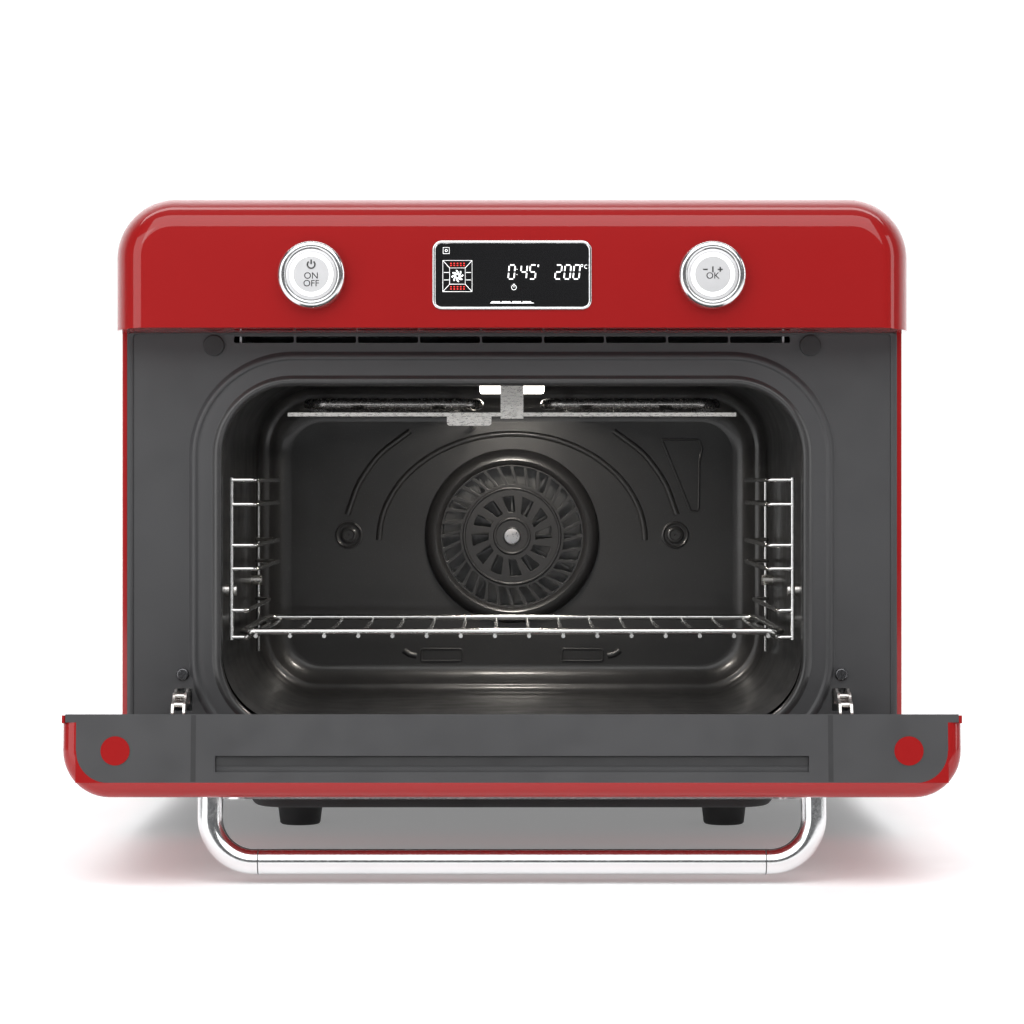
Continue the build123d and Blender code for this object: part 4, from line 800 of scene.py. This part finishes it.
def display():
    """Display with a rim, a dark glass face and lit figures behind its surface."""
    half_w, half_h, corner, rim, proud = 49.15 * MM, 21.45 * MM, 6 * MM, 2 * MM, 1.2 * MM
    profile = [(0.0, -0.2), (0.0, proud / MM - 0.8), (0.12, 0.75), (0.35, 1.02), (0.7, 1.18), (1.0, 1.2),
               (1.4, 1.15), (1.75, 0.95), (2.0, 0.6), (2.0, -0.6)]
    bezel = loft("display_rim", [upright(corner_loop(half_w - i * MM, CONTROL_Z - half_h + i * MM,
                                                     CONTROL_Z + half_h - i * MM, corner - i * MM),
                                         PANEL_FRONT - h * MM) for i, h in profile],
                 "polished_chrome", ROOT)
    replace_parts(bezel, "display_bezel")
    face = PANEL_FRONT - 0.3 * MM
    pane = loft("display_pane", [upright(corner_loop(half_w - rim, CONTROL_Z - half_h + rim,
                                                     CONTROL_Z + half_h - rim, corner - rim), y)
                                 for y in (face + 2.5 * MM, face)], "black_glass", ROOT, caps=(True, True))
    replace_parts(pane, "display_glass")
    flat = 0.04 * MM

    def at(x, z):
        return Vector((x * MM, face - flat, CONTROL_Z + z * MM))

    def digit(figure, x, z, width, height, lean=0.8):
        strokes = []
        for key in DIGITS[figure]:
            ends = [(x + u * width + v * lean / 2, z + v * height / 2) for u, v in SEGMENTS[key]]
            (x0, z0), (x1, z1) = ends
            dx, dz = (x1 - x0), (z1 - z0)
            gap = 0.14
            strokes.append([at(x0 + dx * gap, z0 + dz * gap), at(x1 - dx * gap, z1 - dz * gap)])
        return strokes
    big = []
    for figure, x in (("0", -2.4), ("4", 5.1), ("5", 10.6), ("2", 26.4), ("0", 32.0), ("0", 37.6)):
        width = 3.6
        big += digit(figure, x, -2.4, width, 8.6)
    big += [[at(3.0, z), at(3.05, z + 0.25)] for z in (0.2, 3.4)]
    big.append([at(16.3, 6.4), at(16.1, 5.0)])
    tubes("display_figures", big, 0.42 * MM, "white_glow", ROOT, sides=8)
    small = []
    ring = [at(43.0 + 0.7 * math.cos(a), 5.9 + 0.7 * math.sin(a)) for a in (TAU * i / 16 for i in range(17))]
    letter = [at(45.6 + 0.9 * math.cos(a), 5.2 + 1.1 * math.sin(a))
              for a in (math.radians(50 + 260 * i / 14) for i in range(15))]
    clock = [at(1.2 + 1.5 * math.cos(a), -7.6 + 1.5 * math.sin(a))
             for a in (TAU * i / 20 for i in range(21))]
    small += [ring, letter, clock, [at(1.2, -7.6), at(1.2, -6.6)], [at(0.6, -5.6), at(1.8, -5.6)]]
    box = [(-42.4, 13.2), (-38.6, 13.2), (-38.6, 17.0), (-42.4, 17.0), (-42.4, 13.2)]
    small.append([at(x, z) for x, z in box])
    small.append([at(-40.5 + 0.7 * math.cos(a), 15.1 + 0.7 * math.sin(a))
                  for a in (TAU * i / 14 for i in range(15))])
    frame_box = [(-42.6, -10.2), (-24.6, -10.2), (-24.6, 9.0), (-42.6, 9.0), (-42.6, -10.2)]
    inner_box = [(-38.4, -5.6), (-28.8, -5.6), (-28.8, 4.4), (-38.4, 4.4), (-38.4, -5.6)]
    small += [[at(x, z) for x, z in frame_box], [at(x, z) for x, z in inner_box]]
    small += [[at(*a), at(*b)] for a, b in zip(frame_box[:4], inner_box[:4])]
    small += [[at(x, z), at(x + 3.2, z)]
              for x, z in ((-42.0, -3.0), (-42.0, 1.6), (-28.4, -3.0), (-28.4, 1.6))]
    tubes("display_symbols", small, 0.16 * MM, "white_glow", ROOT, sides=6)
    petals = []
    for i in range(8):
        a = TAU * i / 8
        petals.append([at(-33.6 + r * math.cos(a + r * 0.28), -0.6 + r * math.sin(a + r * 0.28))
                       for r in (0.9, 1.6, 2.3, 3.0, 3.6)])
    tubes("display_fan_mark", petals, 0.42 * MM, "white_glow", ROOT, sides=8)
    warm = [[at(x, z), at(x + 0.9, z)] for z in (7.2, 5.9, -7.2, -8.6) for x in (-38, -36, -34, -32, -30)]
    tubes("display_heat_marks", warm, 0.34 * MM, "red_glow", ROOT, sides=8)
    tubes("display_bar", [[at(-13.4, -17.2), at(13.4, -17.2)]], 0.22 * MM, "white_glow", ROOT, sides=8)
    tubes("display_bar_mark", [[at(x, -16.5), at(x + 5.2, -16.5)] for x in (-12.6, -6.2, 0.2, 6.6)],
          0.34 * MM,
          "white_glow", ROOT, sides=8)


display()


# ---------------------------------------------------------------- door's end and hinge links
def door_edges():
    """Red-painted strips beside the door's inner lip, black strips of painted shade where the pieces of its
    end cap meet, and a strip of painted shade in its vent slot.
    """
    top, lip = 253.7 * MM, 9 * MM
    for side in SIDES:
        edge = side * (DOOR_HALF - 1 * MM)
        strip = [(edge - 0.95 * MM, top - lip), (edge + 0.95 * MM, top - lip),
                 (edge + 0.95 * MM, top - 0.8 * MM),
                 (edge + 0.3 * MM, top - 0.05 * MM), (edge - 0.95 * MM, top - 0.05 * MM)]
        loft("door_lip_edge", [on_door(strip, w * MM) for w in (-5.0, -9.4)], "red_enamel", "door",
             caps=(True, True))
        seam = side * 175 * MM
        # A thin black band on the cap stands for the shade in the groove where its pieces meet: painted
        # shade.
        band = [door_point(seam + dx * MM, top + rise * MM, w * MM)
                for dx, rise, w in ((-1.4, 0.02, -9.6), (1.4, 0.02, -9.6), (1.4, 0.02, 27.0),
                                    (-1.4, 0.02, 27.0))]
        plate_piece("door_cap_joint_painted_shade", band, DOOR_UP, 0.3 * MM, "black_rubber", "door")
        inner_x, inner_w, curve = DOOR_HALF - 8.2 * MM, 27.6 * MM, 17.5 * MM
        corner = [(inner_x + 0.3 * MM, inner_w - curve), (inner_x + 0.3 * MM, inner_w),
                  (inner_x - curve, inner_w)]
        corner += [(inner_x - curve + curve * math.sin(a), inner_w - curve + curve * math.cos(a))
                   for a in quarter(16)]
        outline = [door_point(side * x, top + 0.06 * MM, w) for x, w in corner]
        loft("door_cap_corner", [[p - DOOR_UP * drop for p in outline] for drop in (0.5 * MM, 0.0)],
             "red_enamel", "door", caps=(True, True))
    # A black strip in the slot's floor darkens its upper part where the recess is in shade: painted shade.
    floor = top - 2.45 * MM
    groove = [door_point(x * MM, floor, w * MM) for x, w in ((-162.6, 13.1), (162.6, 13.1), (162.6, 18.2),
                                                             (-162.6, 18.2))]
    loft("door_slot_painted_shade", [[p + DOOR_UP * lift for p in groove] for lift in (-0.4 * MM, 0.6 * MM)],
         "black_rubber", "door", caps=(True, True))


def hinge_links():
    """Stamped links of the door stays: paired side plates on cross pins, along the CAD's arc."""
    near, far, half = 24.5 * MM, 31.5 * MM, 4.3 * MM
    start, end = math.radians(12), math.radians(117)
    steps = 40
    for side in SIDES:
        x = side * 207 * MM
        for cheek in SIDES:
            bm = bmesh.new()
            loops = []
            for i in range(steps + 1):
                a = start + (end - start) * i / steps
                wave = 0.9 * MM * math.cos(i * TAU / 8)
                x0, x1 = x + cheek * (half - 1.5 * MM), x + cheek * half
                loops.append([door_point(px, radius * math.cos(a), -radius * math.sin(a))
                              for px, radius in ((x0, near + wave), (x1, near + wave), (x1, far - wave),
                                                 (x0, far - wave))])
            rings = bridge(bm, loops)
            bm.faces.new(rings[0])
            bm.faces.new(rings[-1])
            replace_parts(settle("stay_plate", bm, "bright_steel", "door", sharp=30), "hinge_arms")
        for degrees in (24, 50, 76, 100, 113):
            a = math.radians(degrees)
            radius = (near + far) / 2
            place = door_point(x, radius * math.cos(a), -radius * math.sin(a))
            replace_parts(turned("stay_pin", [(0, -half), (1.7 * MM, -half), (1.7 * MM, half), (0, half)],
                               place,
                               Vector((1, 0, 0)), "bright_steel", "door", steps=24), "hinge_arms")
        foot = [(x + dx * 7.5 * MM, v * MM) for dx, v in ((-1, 18), (1, 18), (1, 44), (-1, 44))]
        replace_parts(loft("stay_foot", [on_door(foot, w * MM) for w in (-5.5, -7.7)], "bright_steel", "door",
                         caps=(True, True)), "hinge_arms")


door_edges()
hinge_links()


# ---------------------------------------------------------------- studio
def area_light(name, place, aim, width, height, power, colour=(1, 1, 1)):
    """Rectangular soft light that faces a point."""
    lamp = bpy.data.lights.new(name, "AREA")
    lamp.shape, lamp.size, lamp.size_y = "RECTANGLE", width, height
    lamp.energy, lamp.color = power, colour
    holder = bpy.data.objects.new(name, lamp)
    holder.location = place
    holder.rotation_euler = (Vector(aim) - Vector(place)).to_track_quat("-Z", "Y").to_euler()
    bpy.context.scene.collection.objects.link(holder)
    return holder


def backdrop():
    """Floor that curves up into a wall."""
    reach, rise, bend, near, wall = 6.0, 5.0, 1.2, -6.0, 2.6
    profile = [(near, 0.0), (wall - bend, 0.0)]
    for step in range(1, 17):
        angle = 0.5 * math.pi * step / 16
        profile.append((wall - bend + bend * math.sin(angle), bend - bend * math.cos(angle)))
    profile.append((wall, rise))
    bm = bmesh.new()
    bridge(bm, [[Vector((x, y, z)) for x in (-reach, reach)] for y, z in profile], closed=False)
    mesh = bpy.data.meshes.new("backdrop")
    bm.to_mesh(mesh)
    bm.free()
    for face in mesh.polygons:
        face.use_smooth = True
    mesh.materials.append(coated("pale_floor", (0.93, 0.93, 0.935), 0.6, tint=0.004, grain=200.0,
                                 bump=0.02, Emission_Color=(1, 1, 1, 1), Emission_Strength=0.22))
    floor = bpy.data.objects.new("backdrop", mesh)
    bpy.context.scene.collection.objects.link(floor)


backdrop()
aim = (0, 0, 0.2)
area_light("overhead", (0, -1.7, 2.0), aim, 3.4, 2.9, 74)
area_light("left_panel", (-2.0, -1.9, 0.75), aim, 2.2, 1.9, 26)
area_light("right_fill", (2.6, -0.6, 0.9), aim, 0.8, 1.6, 9)
area_light("cavity_lamp", (0, FACE_Y + 0.17, 0.2815), (0, FACE_Y + 0.17, 0.1), 0.04, 0.035, 0.32,
           (1, 0.93, 0.84))
area_light("wall_light", (0, 0.9, 2.6), (0, 2.6, 0.8), 4.5, 1.2, 55)

world = bpy.data.worlds.new("studio")
world.use_nodes = True
world.node_tree.nodes["Background"].inputs["Color"].default_value = (0.96, 0.97, 1.0, 1)
world.node_tree.nodes["Background"].inputs["Strength"].default_value = 0.13
bpy.context.scene.world = world

CAMERA_BACK, CAMERA_HEIGHT, LENS, SENSOR, RISE = 2.053, 0.224, 114.47, 36.0, -0.03125
camera_data = bpy.data.cameras.new("camera")
camera_data.lens, camera_data.sensor_width, camera_data.shift_y = LENS, SENSOR, RISE
camera = bpy.data.objects.new("camera", camera_data)
camera.location = (0, FACE_Y - CAMERA_BACK, CAMERA_HEIGHT)
camera.rotation_euler = (0.5 * math.pi, 0, 0)
bpy.context.scene.collection.objects.link(camera)
bpy.context.scene.camera = camera
bpy.context.scene.view_settings.view_transform = "Standard"
